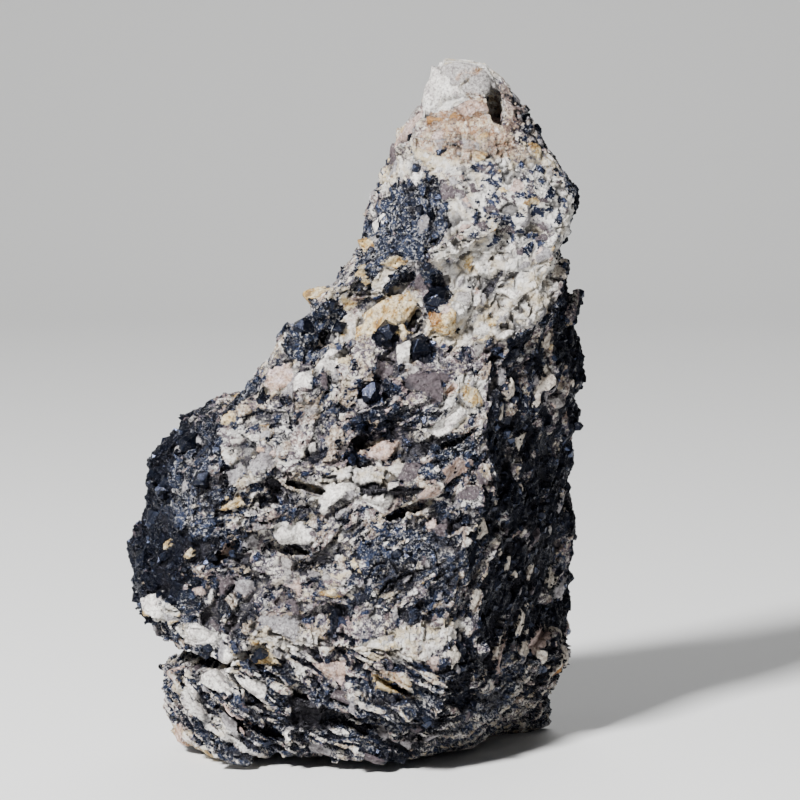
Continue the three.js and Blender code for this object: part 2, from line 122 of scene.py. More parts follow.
class Bench:
    """Adds nodes to one shader or geometry tree and wires them."""

    def __init__(self, tree: bpy.types.NodeTree) -> None:
        """Keeps the tree."""
        self.tree = tree

    def put(self, socket: bpy.types.NodeSocket, value: object) -> None:
        """Wires or sets an input.

        Args:
            socket: The input.
            value: A wire to link from, or a plain value.
        """
        if isinstance(value, Wire):
            self.tree.links.new(value.socket, socket)
        else:
            socket.default_value = value

    def add(self, kind: str, inputs: dict | None = None, **settings: object) -> bpy.types.Node:
        """Adds a node.

        Args:
            kind: The node's type name.
            inputs: Values or wires by input name or number.
            **settings: The node's own settings.

        Returns:
            The new node.
        """
        node = self.tree.nodes.new(kind)
        for name, value in settings.items():
            setattr(node, name, value)
        for name, value in (inputs or {}).items():
            self.put(node.inputs[name], value)
        return node

    def get(self, kind: str, output: str | int = 0, inputs: dict | None = None, **settings: object) -> Wire:
        """Adds a node, as add does, and returns one of its outputs."""
        return Wire(self, self.add(kind, inputs, **settings).outputs[output])

    def math(self, operation: str, *values: object) -> Wire:
        """Returns the result of a math node on the values."""
        return self.get("ShaderNodeMath", 0, dict(enumerate(values)), operation=operation)

    def vector(self, operation: str, *values: object) -> Wire:
        """Returns the result of a vector math node on the values."""
        output = "Value" if operation == "DOT_PRODUCT" else "Vector"
        return self.get("ShaderNodeVectorMath", output, dict(enumerate(values)), operation=operation)

    def parts(self, value: Wire) -> list[Wire]:
        """Returns the three parts of a vector or colour."""
        return [Wire(self, part) for part in self.add("ShaderNodeSeparateXYZ", {0: value}).outputs]

    def ramp(self, value: Wire, low: float, high: float) -> Wire:
        """Rises smoothly from 0 to 1.

        Args:
            value: What is looked at.
            low: Where the rise starts. It may be above high, for a fall.
            high: Where the rise ends.

        Returns:
            The risen value.
        """
        fall = float(low > high)
        ends = {"From Min": min(low, high), "From Max": max(low, high), "To Min": fall, "To Max": 1.0 - fall}
        return self.get("ShaderNodeMapRange", "Result", {"Value": value, **ends}, interpolation_type="SMOOTHSTEP")

    def blend(self, share: object, first: object, second: object, how: str = "MIX") -> Wire:
        """Mixes two colours.

        Args:
            share: How much of the second shows.
            first: A colour or wire.
            second: A colour or wire.
            how: The kind of mix.

        Returns:
            The mixed colour.
        """
        node = self.add("ShaderNodeMix", {0: share}, data_type="RGBA", blend_type=how)
        for socket, value in ((node.inputs[6], first), (node.inputs[7], second)):
            self.put(socket, value if isinstance(value, Wire) else (*value, 1.0))
        return Wire(self, node.outputs[2])

    def colours(self, value: Wire, stops: Stops) -> Wire:
        """Looks a value up in a row of colours.

        Args:
            value: What is looked up.
            stops: Places from 0 to 1 with their colours.

        Returns:
            The colour.
        """
        node = self.add("ShaderNodeValToRGB", {"Fac": value})
        ramp = node.color_ramp
        while len(ramp.elements) < len(stops):
            ramp.elements.new(0.5)
        for element, (place, colour) in zip(ramp.elements, stops):
            element.position = place
            element.color = (*colour, 1.0)
        return Wire(self, node.outputs["Color"])

    def noise(
        self, vector: Wire, size: float, detail: float = 2.0, rough: float = 0.55,
        shift: Triple | None = None, stretch: Triple | None = None,
    ) -> Wire:
        """A cloudy value.

        Args:
            vector: The coordinates.
            size: The size of its features, in the coordinates' unit.
            detail: How many finer layers it has.
            rough: How strong they are.
            shift: Moves the coordinates to another part of the pattern.
            stretch: Multiplies the coordinates.

        Returns:
            The value, about 0.5.
        """
        if shift:
            vector = self.vector("ADD", vector, shift)
        if stretch:
            vector = self.vector("MULTIPLY", vector, stretch)
        inputs = {"Vector": vector, "Scale": 1.0 / size, "Detail": detail, "Roughness": rough}
        return self.get("ShaderNodeTexNoise", 0, inputs)

    def cells(self, vector: Wire, size: float) -> tuple[list[Wire], Wire]:
        """Grains drawn out along the layers: cells of space, each with its own random values and tilted face.

        Args:
            vector: The layered coordinates, in millimetres.
            size: The size of a grain.

        Returns:
            Three random values of the grain, and the height of its tilted face in grain sizes.
        """
        place = self.vector("MULTIPLY", vector, tuple(1.0 / (size * part) for part in GRAIN_SHAPE))
        node = self.add("ShaderNodeTexVoronoi", {"Vector": place, "Scale": 1.0, "Randomness": 1.0})
        away = self.vector("SUBTRACT", place, Wire(self, node.outputs["Position"]))
        tone = Wire(self, node.outputs["Color"])
        lean = self.vector("SUBTRACT", tone, (0.5, 0.5, 0.5))
        return self.parts(tone), self.vector("DOT_PRODUCT", away, lean)

    def attribute(self, name: str, output: str = "Fac") -> Wire:
        """Reads one of the mesh's attributes in a material."""
        return self.get("ShaderNodeAttribute", output, attribute_name=name)

    def millimetres(self) -> Wire:
        """Returns the Object coordinates in millimetres."""
        return self.vector("MULTIPLY", self.get("ShaderNodeTexCoord", "Object"), (1 / MM, 1 / MM, 1 / MM))

    def grit(self, place: Wire, size: float) -> tuple[Wire, Wire]:
        """Adds the fine grit's group.

        Args:
            place: The coordinates, in millimetres.
            size: How coarse the grit is.

        Returns:
            Its height and its specks.
        """
        group = self.add("ShaderNodeGroup", node_tree=grit_tree())
        self.put(group.inputs["Vector"], place)
        self.put(group.inputs["Size"], size)
        return Wire(self, group.outputs["Height"]), Wire(self, group.outputs["Specks"])


def grit_tree(name: str = "fine grit") -> bpy.types.NodeTree:
    """Fine broken grit, which every mineral here has: a height and a mask of bright specks.

    Args:
        name: The group's name.

    Returns:
        The shader node group, with Vector and Size in, and Height and Specks out.
    """
    if name in bpy.data.node_groups:
        return bpy.data.node_groups[name]
    tree = bpy.data.node_groups.new(name, "ShaderNodeTree")
    tree.interface.new_socket("Vector", in_out="INPUT", socket_type="NodeSocketVector")
    tree.interface.new_socket("Size", in_out="INPUT", socket_type="NodeSocketFloat")
    tree.interface.new_socket("Height", in_out="OUTPUT", socket_type="NodeSocketFloat")
    tree.interface.new_socket("Specks", in_out="OUTPUT", socket_type="NodeSocketFloat")
    bench = Bench(tree)
    given = bench.add("NodeGroupInput")
    scale = bench.math("DIVIDE", 1.0, Wire(bench, given.outputs["Size"]))
    stretch = bench.get("ShaderNodeCombineXYZ", 0, {0: scale, 1: scale, 2: scale})
    place = bench.vector("MULTIPLY", Wire(bench, given.outputs["Vector"]), stretch)
    height = bench.noise(place, 0.55, 4.0, 0.65) * 0.7 + bench.noise(place, 0.16, 2.0, 0.6) * 0.3
    specks = bench.ramp(bench.noise(place, 0.34, 3.0, 0.6), 0.56, 0.64)
    bench.add("NodeGroupOutput", {"Height": height, "Specks": specks})
    return tree


# ---------------------------------------------------------------- the rock's layers and zones


@dataclass(frozen=True)
class Layers:
    """The banding of the ore, in millimetres: three runs of layers, parted by a fault over the foot and one high up.

    The layers rise to the right and back in the middle, fall to the right at the top, and in the foot they
    come down steeply at the left and flatten to the right.
    """

    rise_right: float = 0.47
    rise_back: float = 1.7
    foot_rise: float = -0.32
    foot_back: float = 0.4
    foot_steep: float = -0.62
    foot_left: float = -30.0
    foot_bend: float = 18.0
    foot_fault: float = 19.5
    top_rise: float = -0.4
    top_fault: float = 80.0
    wander: float = 3.0
    apart: float = 50.0

    def run(self, place: np.ndarray) -> np.ndarray:
        """Which run points lie in.

        Args:
            place: Points in millimetres, one a row.

        Returns:
            0 in the foot, 1 in the middle and 2 at the top.
        """
        x, _, z = place.T
        wiggle = 2.2 * noise_of(place, 9.0, 13.0)
        low = z + wiggle > self.foot_fault - 0.12 * x
        return low.astype(int) + (z + wiggle > self.top_fault + 0.2 * (x - 20)).astype(int)

    def coordinates(self, place: np.ndarray) -> np.ndarray:
        """The layered coordinates of places: along, along, and across the layers.

        Args:
            place: Points in millimetres, one a row.

        Returns:
            Their layered coordinates, in millimetres, one row a point.
        """
        bend = self.wander * noise_of(place, 26.0, 11.0) + 1.2 * noise_of(place, 9.0, 12.0)
        past = np.maximum(place[:, 0] - self.foot_left, -8.0)
        drop = self.foot_steep * self.foot_bend * (1 - np.exp(-past / self.foot_bend))
        laid = np.empty_like(place)
        run = self.run(place)
        for number, rise in enumerate((self.foot_rise, self.rise_right, self.top_rise)):
            back = self.rise_back if number else self.foot_back
            normal = np.array((-rise, -back, 1.0)) / math.sqrt(1 + rise**2 + back**2)
            strike = np.array((back, -rise, 0.0)) / math.hypot(back, rise)
            here = run == number
            across = place[here] @ normal + (bend[here] - (drop[here] if number == 0 else 0)) * normal[2]
            slope = place[here] @ np.cross(normal, strike)
            laid[here] = np.column_stack((place[here] @ strike, slope, across + self.apart * number))
        return laid

    def normal(self, spot: np.ndarray) -> Vector:
        """The direction across the layers.

        Args:
            spot: A point in millimetres.

        Returns:
            The direction there.
        """
        run = int(self.run(np.array([spot]))[0])
        rise = (self.foot_rise, self.rise_right, self.top_rise)[run]
        if run == 0:
            rise += self.foot_steep * math.exp(-max(spot[0] - self.foot_left, -8.0) / self.foot_bend)
        return Vector((-rise, -self.rise_back if run else -self.foot_back, 1.0)).normalized()


def smooth_step(low: float, high: float, value: np.ndarray) -> np.ndarray:
    """Rises smoothly from 0 at low to 1 at high."""
    share = np.clip((value - low) / (high - low), 0.0, 1.0)
    return share * share * (3 - 2 * share)


def noise_of(place: np.ndarray, size: float, seed: float) -> np.ndarray:
    """Smooth noise from -1 to 1.

    Args:
        place: Points, one a row.
        size: The size of its features, in the points' unit.
        seed: Shifts it to another pattern.

    Returns:
        One value a point.
    """
    moved = place / size + seed * 17.31
    return np.array([noise.noise(row) for row in moved.tolist()])


def noises_of(place: np.ndarray, size: float, *seeds: float) -> np.ndarray:
    """Several patterns of noise_of, one a column."""
    return np.column_stack([noise_of(place, size, seed) for seed in seeds])


def seen_way(angle: float) -> Vector:
    """The way that an angle in degrees points, up from the right, as seen from the front."""
    return Vector((math.cos(math.radians(angle)), 0, math.sin(math.radians(angle))))


def laid_on(along: Vector, out: Vector) -> Vector:
    """The way closest to along that lies across out."""
    return (along - out * along.dot(out)).normalized()


def tip_weight(place: np.ndarray, low: float, high: float) -> np.ndarray:
    """How much of the tip's pale cap shows.

    Args:
        place: Points in millimetres, one a row.
        low: Where it fades out, as a share of its radius.
        high: Where it is whole.

    Returns:
        Shares from 0 to 1.
    """
    away = np.hypot((place[:, 0] - TIP_X) / TIP_WIDE, (place[:, 2] - TIP_Z) / TIP_HIGH)
    return smooth_step(-low, -high, -away)


@dataclass(frozen=True)
class Patch:
    """A patch of the front face, in millimetres, and the shares of the minerals in it."""

    x: float
    z: float
    length: float
    width: float
    angle: float
    dark: float
    pale: float
    warm: float

    def weight(self, x: np.ndarray, z: np.ndarray) -> np.ndarray:
        """How much of the patch shows at points of the front.

        Args:
            x: Places to the right.
            z: Heights.

        Returns:
            Shares from 0 to 1.
        """
        turn = math.radians(self.angle)
        across, up = x - self.x, z - self.z
        along = across * math.cos(turn) + up * math.sin(turn)
        over = up * math.cos(turn) - across * math.sin(turn)
        away = np.hypot(along / (self.length / 2), over / (self.width / 2))
        return smooth_step(-1.18, -0.82, -away)


# The front face's zones, from the tip down. Each row: x, z, length, width, angle, dark, pale, warm.
PATCHES = [Patch(*row) for row in (
    (18.0, 92.0, 30.0, 22.0, -20, 0.06, 0.55, 0.5), (16.5, 98.0, 19.0, 9.0, -22, 0.02, 0.3, 0.95),
    (17.0, 102.6, 10.0, 4.0, -10, 0.0, 0.4, 0.8), (8.5, 92.0, 10.0, 7.0, 20, 0.12, 0.75, 0.5),
    (20.0, 81.0, 26.0, 12.0, -20, 0.04, 0.95, 0.3), (26.0, 86.5, 22.0, 13.0, -24, 0.2, 0.92, 0.05),
    (31.0, 84.0, 6.0, 6.0, 0, 0.2, 0.85, 0.1), (19.5, 76.5, 13.0, 10.0, -30, 0.02, 0.95, 0.3),
    (22.5, 71.5, 18.0, 10.0, 10, 0.08, 0.92, 0.35), (16.4, 106.6, 13.0, 6.0, 34, 0.0, 1.0, 0.0),
    (12.0, 102.6, 9.0, 3.4, 56, 0.0, 1.0, 0.0), (20.4, 106.4, 6.0, 3.6, -40, 0.03, 0.8, 0.1),
    (24.6, 103.0, 5.0, 9.0, 0, 0.2, 0.12, 0.7), (13.0, 100.4, 7.0, 2.2, -8, 0.0, 0.3, 1.0),
    (18.2, 107.3, 4.4, 2.2, 20, 0.0, 0.5, 1.0), (8.6, 98.4, 11.0, 3.2, 60, 0.03, 0.5, 0.6),
    (8.5, 84.0, 15.0, 11.0, 62, 0.86, 0.26, 0.0), (5.0, 79.0, 12.0, 10.0, 52, 0.86, 0.26, 0.0),
    (10.5, 79.0, 11.0, 6.0, -55, 0.8, 0.3, 0.0), (19.0, 77.6, 15.0, 8.0, -20, 0.05, 0.95, 0.35),
    (4.0, 75.0, 7.0, 2.4, 55, 0.1, 0.9, 0.3), (-4.2, 72.6, 9.0, 4.0, 20, 0.15, 0.7, 0.6),
    (-6.5, 68.0, 11.0, 8.0, 40, 0.85, 0.2, 0.0), (5.6, 70.7, 11.0, 5.4, 28, 0.0, 0.85, 0.75),
    (-0.5, 68.0, 8.0, 3.2, 30, 0.1, 0.75, 0.5), (13.6, 68.6, 7.0, 5.0, 40, 0.05, 0.9, 0.5),
    (12.8, 73.0, 5.0, 4.4, 0, 0.95, 0.05, 0.2), (5.2, 67.4, 4.6, 4.2, 0, 0.98, 0.05, 0.0),
    (10.4, 65.2, 5.2, 4.6, 0, 0.98, 0.05, 0.0), (3.0, 58.4, 5.4, 4.4, 0, 0.98, 0.08, 0.0),
    (-11.2, 60.9, 7.0, 3.4, 38, 0.0, 0.9, 0.6), (-4.0, 63.0, 7.0, 1.8, 32, 0.0, 1.0, 0.1),
    (11.0, 60.2, 10.0, 5.2, -12, 0.12, 0.08, 0.25), (13.5, 49.0, 11.0, 7.0, 20, 0.8, 0.1, 0.0),
    # The row at (-20.0, 16.5) is painted shade: it darkens the gap in the foot and the shade beside it.
    (-22.0, 8.0, 20.0, 3.0, -42, 0.4, 0.7, 0.1), (-20.0, 16.5, 16.0, 4.4, -12, 0.95, 0.1, 0.0),
    (12.0, 30.0, 10.0, 26.0, -10, 0.62, 0.3, 0.1), (16.0, 67.5, 9.0, 4.0, 0, 0.1, 0.8, 0.5),
    (17.0, 58.0, 7.0, 6.0, 30, 0.15, 0.85, 0.2), (5.0, 54.0, 12.0, 5.0, 12, 0.6, 0.2, 0.2),
    (3.9, 50.0, 5.4, 2.6, 15, 0.0, 0.5, 0.75), (14.4, 54.0, 8.0, 2.6, 32, 0.0, 1.0, 0.2),
    (14.0, 48.0, 10.0, 6.4, 0, 0.8, 0.2, 0.0), (-0.5, 45.0, 18.0, 4.0, 14, 0.05, 0.9, 0.25),
    (11.8, 43.6, 6.0, 3.0, 20, 0.05, 0.5, 0.5), (-14.0, 50.0, 16.0, 10.0, 30, 0.3, 0.45, 0.1),
    (-9.3, 36.9, 6.4, 4.2, -8, 0.0, 0.8, 0.3), (-6.0, 30.0, 16.0, 10.0, 0, 0.38, 0.4, 0.35),
    (-11.0, 21.0, 12.0, 5.4, 8, 0.02, 0.7, 0.45), (6.0, 32.0, 16.0, 12.0, 25, 0.62, 0.42, 0.2),
    (9.0, 21.0, 18.0, 5.0, 12, 0.2, 0.75, 0.45), (5.6, 14.8, 7.6, 3.2, -20, 0.0, 0.6, 1.0),
    (-30.5, 24.4, 6.4, 3.6, -22, 0.0, 1.0, 0.2), (-24.0, 21.2, 7.0, 3.4, -20, 0.05, 1.0, 0.15),
    (-19.0, 17.0, 5.4, 3.6, 60, 0.05, 0.9, 0.3), (-24.0, 45.0, 10.0, 16.0, 0, 0.72, 0.3, 0.1),
    (-27.6, 2.8, 4.6, 4.4, -40, 0.0, 0.7, 1.0), (-22.6, 1.4, 6.0, 2.6, -12, 0.05, 0.9, 0.4),
)]
SPECKLED = PATCHES[5]


@dataclass(frozen=True)
class Zones:
    """The shares of dark, pale and warm minerals over the whole rock. On the right flank and the foot the dark share
    is partly painted shade.
    """

    front: Triple = (0.36, 0.36, 0.26)
    left: Triple = (1.0, 0.14, 0.05)
    # Painted shade: the right flank, which faces away from the key light, gets a dark share above 1 and almost no
    # pale.
    right: Triple = (1.15, 0.03, 0.1)
    back: Triple = (0.48, 0.4, 0.3)
    # Partly painted shade: the foot is darker towards the bottom, besides its own dark layers.
    foot: Triple = (0.95, 0.2, 0.3)
    cap: Triple = (0.04, 0.8, 0.15)

    def shares(self, place: np.ndarray, facing: np.ndarray) -> np.ndarray:
        """The shares at points of the surface.

        Args:
            place: Points in millimetres.
            facing: The outward directions there.

        Returns:
            Dark, pale and warm, one row a point.
        """
        x, _, z = place.T
        swirl = noises_of(place, 5.0, 1.0, 2.0) + 0.6 * noises_of(place, 1.8, 3.0, 4.0)
        shares = np.tile(np.array(self.front), (len(place), 1))

        def lay(weight: np.ndarray, target: Triple) -> None:
            """Blends the shares towards a target where weight is high."""
            shares[:] += weight[:, None] * (np.array(target) - shares)

        lay(smooth_step(0.1, 0.6, facing[:, 1]), self.back)
        # Painted shade on the flank that faces right.
        lay(smooth_step(0.45, 0.75, facing[:, 0] + 0.12 * swirl[:, 0]), self.right)
        low_left = smooth_step(-64.0, -54.0, -z) * smooth_step(16.0, 22.0, z)
        lay(smooth_step(0.35, 0.7, -facing[:, 0] + 0.2 * swirl[:, 0]) * low_left, self.left)
        edge = smooth_step(-5.0, 3.0, -22.0 - x + 2.5 * swirl[:, 1] - 0.28 * np.abs(z - 40)) * low_left
        lay(edge, self.left)
        behind = smooth_step(-0.1, 0.4, facing[:, 1])
        # Partly painted shade: darker towards the bottom.
        lay(smooth_step(-21.0, -12.0, -z + 5 * swirl[:, 0]) * (1 - 0.6 * behind), self.foot)
        lay(smooth_step(101.5, 106.0, z + 3.5 * swirl[:, 0]), self.cap)
        front = smooth_step(0.05, 0.3, -facing[:, 1])
        for patch in PATCHES:
            weight = patch.weight(x + 0.9 * swirl[:, 0], z + 0.9 * swirl[:, 1])
            lay(front * weight, (patch.dark, patch.pale, patch.warm))
        return np.clip(shares + 0.16 * noises_of(place, 12.0, 5.0, 6.0, 7.0), 0.0, 1.0)


# ---------------------------------------------------------------- finishes


@dataclass(frozen=True)
class OreFinish:
    """The broken ore: franklinite, calcite and willemite grains, grit and stains, from the skin's own shares, and
    painted shade.
    """

    black: Colour = (0.003, 0.0045, 0.012)
    steel: Colour = (0.038, 0.052, 0.1)
    chalk: Colour = (0.77, 0.75, 0.715)
    cream: Colour = (0.6, 0.5, 0.34)
    rust: Colour = (0.3, 0.13, 0.035)
    # Near-black colour of the painted shade in the relief's hollows.
    shadow: Colour = (0.018, 0.017, 0.022)
    sheen: float = 0.7
    specular: float = 0.35

    def material(self) -> bpy.types.Material:
        """Builds the material.

        Returns:
            The ore's material.
        """
        made = bpy.data.materials.new("banded ore")
        made.use_nodes = True
        OreNodes(self, Bench(made.node_tree)).wire(made.node_tree.nodes["Principled BSDF"])
        return made


class OreNodes:
    """The ore's nodes: what they read from the skin, and what they make of it."""

    def __init__(self, finish: OreFinish, bench: Bench) -> None:
        """Adds the nodes that read the skin, and the patterns that several others use.

        Args:
            finish: The ore's colours.
            bench: The material's nodes.
        """
        self.finish, self.bench = finish, bench
        self.place = bench.millimetres()
        self.layered = bench.attribute("layered", "Vector")
        self.dark, self.pale, self.warm = bench.parts(bench.attribute("shares", "Vector"))
        self.grit, self.specks = bench.grit(self.place, 1.0)
        self.large, lean = bench.cells(self.layered, GRAIN)
        self.small, fine_lean = bench.cells(self.layered, FINE_GRAIN)
        self.lean = lean * 0.5 + fine_lean * 0.75
        self.cloud = bench.noise(self.layered, 1.3, 6.0, 0.72, stretch=(0.8, 0.8, 1.25))
        self.crumbs = bench.noise(self.place, 0.85, 5.0, 0.7, shift=(9.0, 5.0, 7.0))
        self.flecks = bench.noise(self.place, 0.42, 3.0, 0.65, shift=(31.0, 7.0, 3.0))
        self.frosted = bench.ramp(self.dark, 0.6, 0.78) * bench.ramp(self.pale, 0.12, 0.24)
        self.stain = bench.ramp(self.warm, 0.55, 1.0) * bench.ramp(self.cloud, 0.42, 0.62)

    def wire(self, shader: bpy.types.Node) -> None:
        """Works out the ore and wires it to the shader.

        Args:
            shader: The material's own shader node.
        """
        bench, finish = self.bench, self.finish
        dark, pale, pale_share = self.masks()
        stained = bench.blend(self.stain * 0.6, self.pale_colour(pale), finish.rust)
        ore = bench.blend(dark, stained, self.dark_colour())
        plate, murky, grain = self.plates()
        dark = dark * (1.0 - plate) + plate * murky
        dusty = self.dust(pale_share, dark) * (1.0 - plate * 0.45)
        # The ore's colour gets its painted shade here.
        colour = self.shaded(bench.blend(dusty * 0.6, bench.blend(plate, ore, grain), finish.chalk))
        clean = dark * (1.0 - dusty)
        gloss = 0.1 + self.small[0] * 0.26
        matt = 0.85 - self.small[2] * 0.3
        raised = self.lean + self.grit * 0.6 + self.crumbs * 0.35 - dark * 0.1 + dusty * 0.08
        bump = {"Height": raised * (1.0 - plate * 0.55), "Strength": 0.9, "Distance": MM}
        bench.put(shader.inputs["Base Color"], colour)
        bench.put(shader.inputs["Metallic"], clean * finish.sheen)
        bench.put(shader.inputs["Roughness"], clean * gloss + (1.0 - clean) * matt)
        bench.put(shader.inputs["Specular IOR Level"], finish.specular)
        bench.put(shader.inputs["Normal"], bench.get("ShaderNodeBump", "Normal", bump))

    def masks(self) -> tuple[Wire, Wire, Wire]:
        """Works out where the ore is dark and where it is pale, banded along the layers.

        Returns:
            The mask of dark grains, the mask of pale ones, and the pale share with its bands.
        """
        thin = self.bench.noise(self.layered, 1.0, 3.0, 0.55, stretch=LEAF_SCALE)
        leaves = self.bench.ramp(thin, 0.44, 0.56) - 0.5
        banded = (thin - 0.5) * 0.8 + leaves * self.bench.attribute("foot") * 0.8
        pale = self.pale - banded * 0.6
        dark_mask = self.pick(self.dark + banded, (self.large[0], self.small[0], self.cloud), (0.3, 0.3, 1.7), 0.04)
        return dark_mask, self.pick(pale, (self.large[1], self.small[1], self.crumbs), (0.15, 0.2, 2.6), 0.1), pale

    def pick(self, amount: Wire, chances: tuple[Wire, ...], weights: tuple[float, ...], edge: float) -> Wire:
        """A crisp mask of the grains and crumbs that a share picks.

        Args:
            amount: The share.
            chances: A random value a grain, one a fine grain, and a cloudy one.
            weights: How much each of them counts.
            edge: How soft the mask's edge is.

        Returns:
            The mask.
        """
        coarse, fine, wild = weights
        score = amount - chances[0] * coarse - chances[1] * fine - (chances[2] - 0.5) * wild
        middle = 0.5 * (1.0 - coarse - fine)
        return self.bench.ramp(score, middle - edge, middle + edge)

    def pale_colour(self, pale: Wire) -> Wire:
        """The colour of all that isn't dark: grey, mauve and tan grains with flecks, and white to cream ones.

        Args:
            pale: Where the grains are pale.

        Returns:
            The colour.
        """
        bench, finish = self.bench, self.finish
        drift = (bench.noise(self.place, 3.2, 3.0, 0.6, shift=(3.0, 61.0, 2.0)) - 0.42) * 3.0
        warmth = bench.ramp(self.warm * 0.9 + drift, 0.0, 1.0) * bench.ramp(self.small[2], 0.0, 0.6)
        chalk = bench.blend(warmth, finish.chalk, finish.cream)
        grey = bench.colours(self.large[2], [
            (0.0, (0.028, 0.027, 0.042)), (0.3, (0.08, 0.064, 0.085)), (0.5, (0.14, 0.115, 0.135)),
            (0.72, (0.22, 0.155, 0.155)), (1.0, (0.35, 0.27, 0.18)),
        ])
        tan = bench.colours(self.large[2], [
            (0.0, (0.16, 0.1, 0.07)), (0.4, (0.33, 0.22, 0.15)), (0.7, (0.42, 0.31, 0.24)), (1.0, (0.5, 0.4, 0.33)),
        ])
        middle = bench.blend(bench.ramp(self.warm, 0.45, 0.9), grey, tan)
        middle = bench.blend(bench.ramp(self.flecks, 0.55, 0.62) * 0.75, middle, chalk)
        middle = bench.blend(bench.ramp(self.flecks, 0.45, 0.38) * 0.85, middle, finish.black)
        mixed = bench.blend(pale, middle, chalk)
        return bench.blend(bench.ramp(self.flecks, 0.38, 0.33) * 0.8, mixed, finish.steel)

    def dark_colour(self) -> Wire:
        """Works out the black to steel blue of the dark grains.

        Returns:
            The colour.
        """
        bright = self.bench.ramp(self.small[1], 0.3, 0.9) * self.bench.ramp(self.pale, 0.14, 0.32)
        frost = self.frosted * self.bench.ramp(self.small[1], 0.1, 0.5)
        return self.bench.blend(self.bench.math("MAXIMUM", bright, frost), self.finish.black, self.finish.steel)

    def plates(self) -> tuple[Wire, Wire, Wire]:
        """Colours the larger grains that the skin carries, with worn outlines, streaks and flecks.

        Returns:
            Their mask, the mask of the murky ones, and their colour.
        """
        bench, tint = self.bench, self.bench.attribute("tint", "Vector")
        worn = (self.crumbs - 0.5) * 2.4 + 0.06
        plate = bench.ramp(bench.attribute("edge") - worn, -0.05, 0.05)
        streaks = bench.noise(self.layered, 1.0, 6.0, 0.7, stretch=(0.45, 0.45, 1.6))
        plain = bench.colours(streaks, [
            (0.32, (0.4, 0.38, 0.4)), (0.42, (0.78, 0.74, 0.74)), (0.5, (0.96, 0.95, 0.94)),
            (0.64, (1.12, 1.12, 1.12)),
        ])
        rusty = bench.colours(streaks, [
            (0.36, (0.35, 0.22, 0.1)), (0.44, (0.72, 0.55, 0.3)), (0.5, (1.0, 0.95, 0.86)), (0.6, (1.2, 1.25, 1.5)),
        ])
        mottle = bench.colours(self.flecks, [
            (0.38, (0.45, 0.43, 0.44)), (0.47, (0.92, 0.92, 0.92)), (0.62, (1.2, 1.2, 1.2)),
        ])
        red, _, blue = bench.parts(tint)
        grain = bench.vector("MULTIPLY", tint, bench.blend(bench.ramp(red - blue, 0.1, 0.26), plain, rusty))
        grain = bench.blend(self.stain * 0.55, grain, self.finish.rust)
        return plate, bench.ramp(red, 0.06, 0.04), bench.vector("MULTIPLY", grain, mottle)

    def dust(self, pale: Wire, dark: Wire) -> Wire:
        """Where pale dust lies: specks where the ore is pale, and powder on the frosted dark patches.

        Args:
            pale: The pale share.
            dark: Where the grains are dark.

        Returns:
            The mask.
        """
        powder = self.bench.ramp(self.bench.noise(self.place, 0.5, 4.0, 0.7, shift=(5.0, 77.0, 1.0)), 0.53, 0.6)
        return self.bench.math("MAXIMUM", self.specks * self.bench.ramp(pale, 0.0, 0.6), powder * dark * self.frosted)

    def shaded(self, colour: Wire) -> Wire:
        """Paints shade into the low spots of the grit and into the relief's hollows.

        Args:
            colour: The ore's colour.

        Returns:
            The colour with painted shade.
        """
        # Painted shade: the grit's low spots are multiplied darker.
        shade = self.bench.colours(self.grit, [(0.34, (0.58, 0.56, 0.56)), (0.58, (1.0, 1.0, 1.0))])
        # Painted shade: the relief's hollows, cracks and moats blend towards the shadow colour.
        hollow_shade = self.bench.ramp(self.bench.attribute("relief"), -0.05, -0.65) * 0.8
        return self.bench.blend(hollow_shade, self.bench.blend(0.85, colour, shade, "MULTIPLY"), self.finish.shadow)


@dataclass(frozen=True)
class GrainFinish:
    """A loose grain's finish: its colours run with a random value that each grain carries."""

    name: str
    stops: Stops
    roughness: tuple[float, float]
    metallic: float
    dust: float
    bump: float
    powder: Colour = (0.7, 0.68, 0.65)
    specular: float = 0.35

    def material(self) -> bpy.types.Material:
        """Builds the material.

        Returns:
            The grain's material.
        """
        made = bpy.data.materials.new(self.name)
        made.use_nodes = True
        bench = Bench(made.node_tree)
        shader = made.node_tree.nodes["Principled BSDF"]
        place = bench.millimetres()
        height, specks = bench.grit(place, 0.8)
        wander = bench.attribute("tone") + (bench.noise(place, 1.6, 4.0, 0.6) - 0.5) * 0.6
        dust = specks * self.dust
        low, high = self.roughness
        bump = {"Height": height, "Strength": self.bump, "Distance": 0.3 * MM}
        bench.put(shader.inputs["Base Color"], bench.blend(dust, bench.colours(wander, self.stops), self.powder))
        bench.put(shader.inputs["Roughness"], low + height * (high - low))
        bench.put(shader.inputs["Metallic"], (1.0 - dust) * self.metallic)
        bench.put(shader.inputs["Specular IOR Level"], self.specular)
        bench.put(shader.inputs["Normal"], bench.get("ShaderNodeBump", "Normal", bump))
        return made


FINISHES = {
    Mineral.FRANKLINITE: GrainFinish(
        "franklinite", [(0.0, (0.004, 0.005, 0.011)), (0.7, (0.009, 0.012, 0.024)), (1.0, (0.035, 0.045, 0.08))],
        (0.06, 0.3), 0.8, 0.1, 0.3,
    ),
}


# ---------------------------------------------------------------- larger grains in the skin


class Tint(Enum):
    """The colours of the larger grains, and the near-black painted shadow of the gaps that have opened between
    layers.
    """

    CREAM = (0.56, 0.46, 0.27)
    WHITE = (0.76, 0.74, 0.7)
    PINK = (0.56, 0.43, 0.38)
    MAUVE = (0.085, 0.067, 0.076)
    GREY = (0.3, 0.29, 0.3)
    AMBER = (0.3, 0.16, 0.05)
    LENS = (0.6, 0.55, 0.47)
    STEEL = (0.018, 0.026, 0.058)
    # Painted shadow: near black, for the cracks under ledges and the recess under the front face.
    GAP = (0.012, 0.011, 0.014)
    DULL = (0.34, 0.325, 0.315)


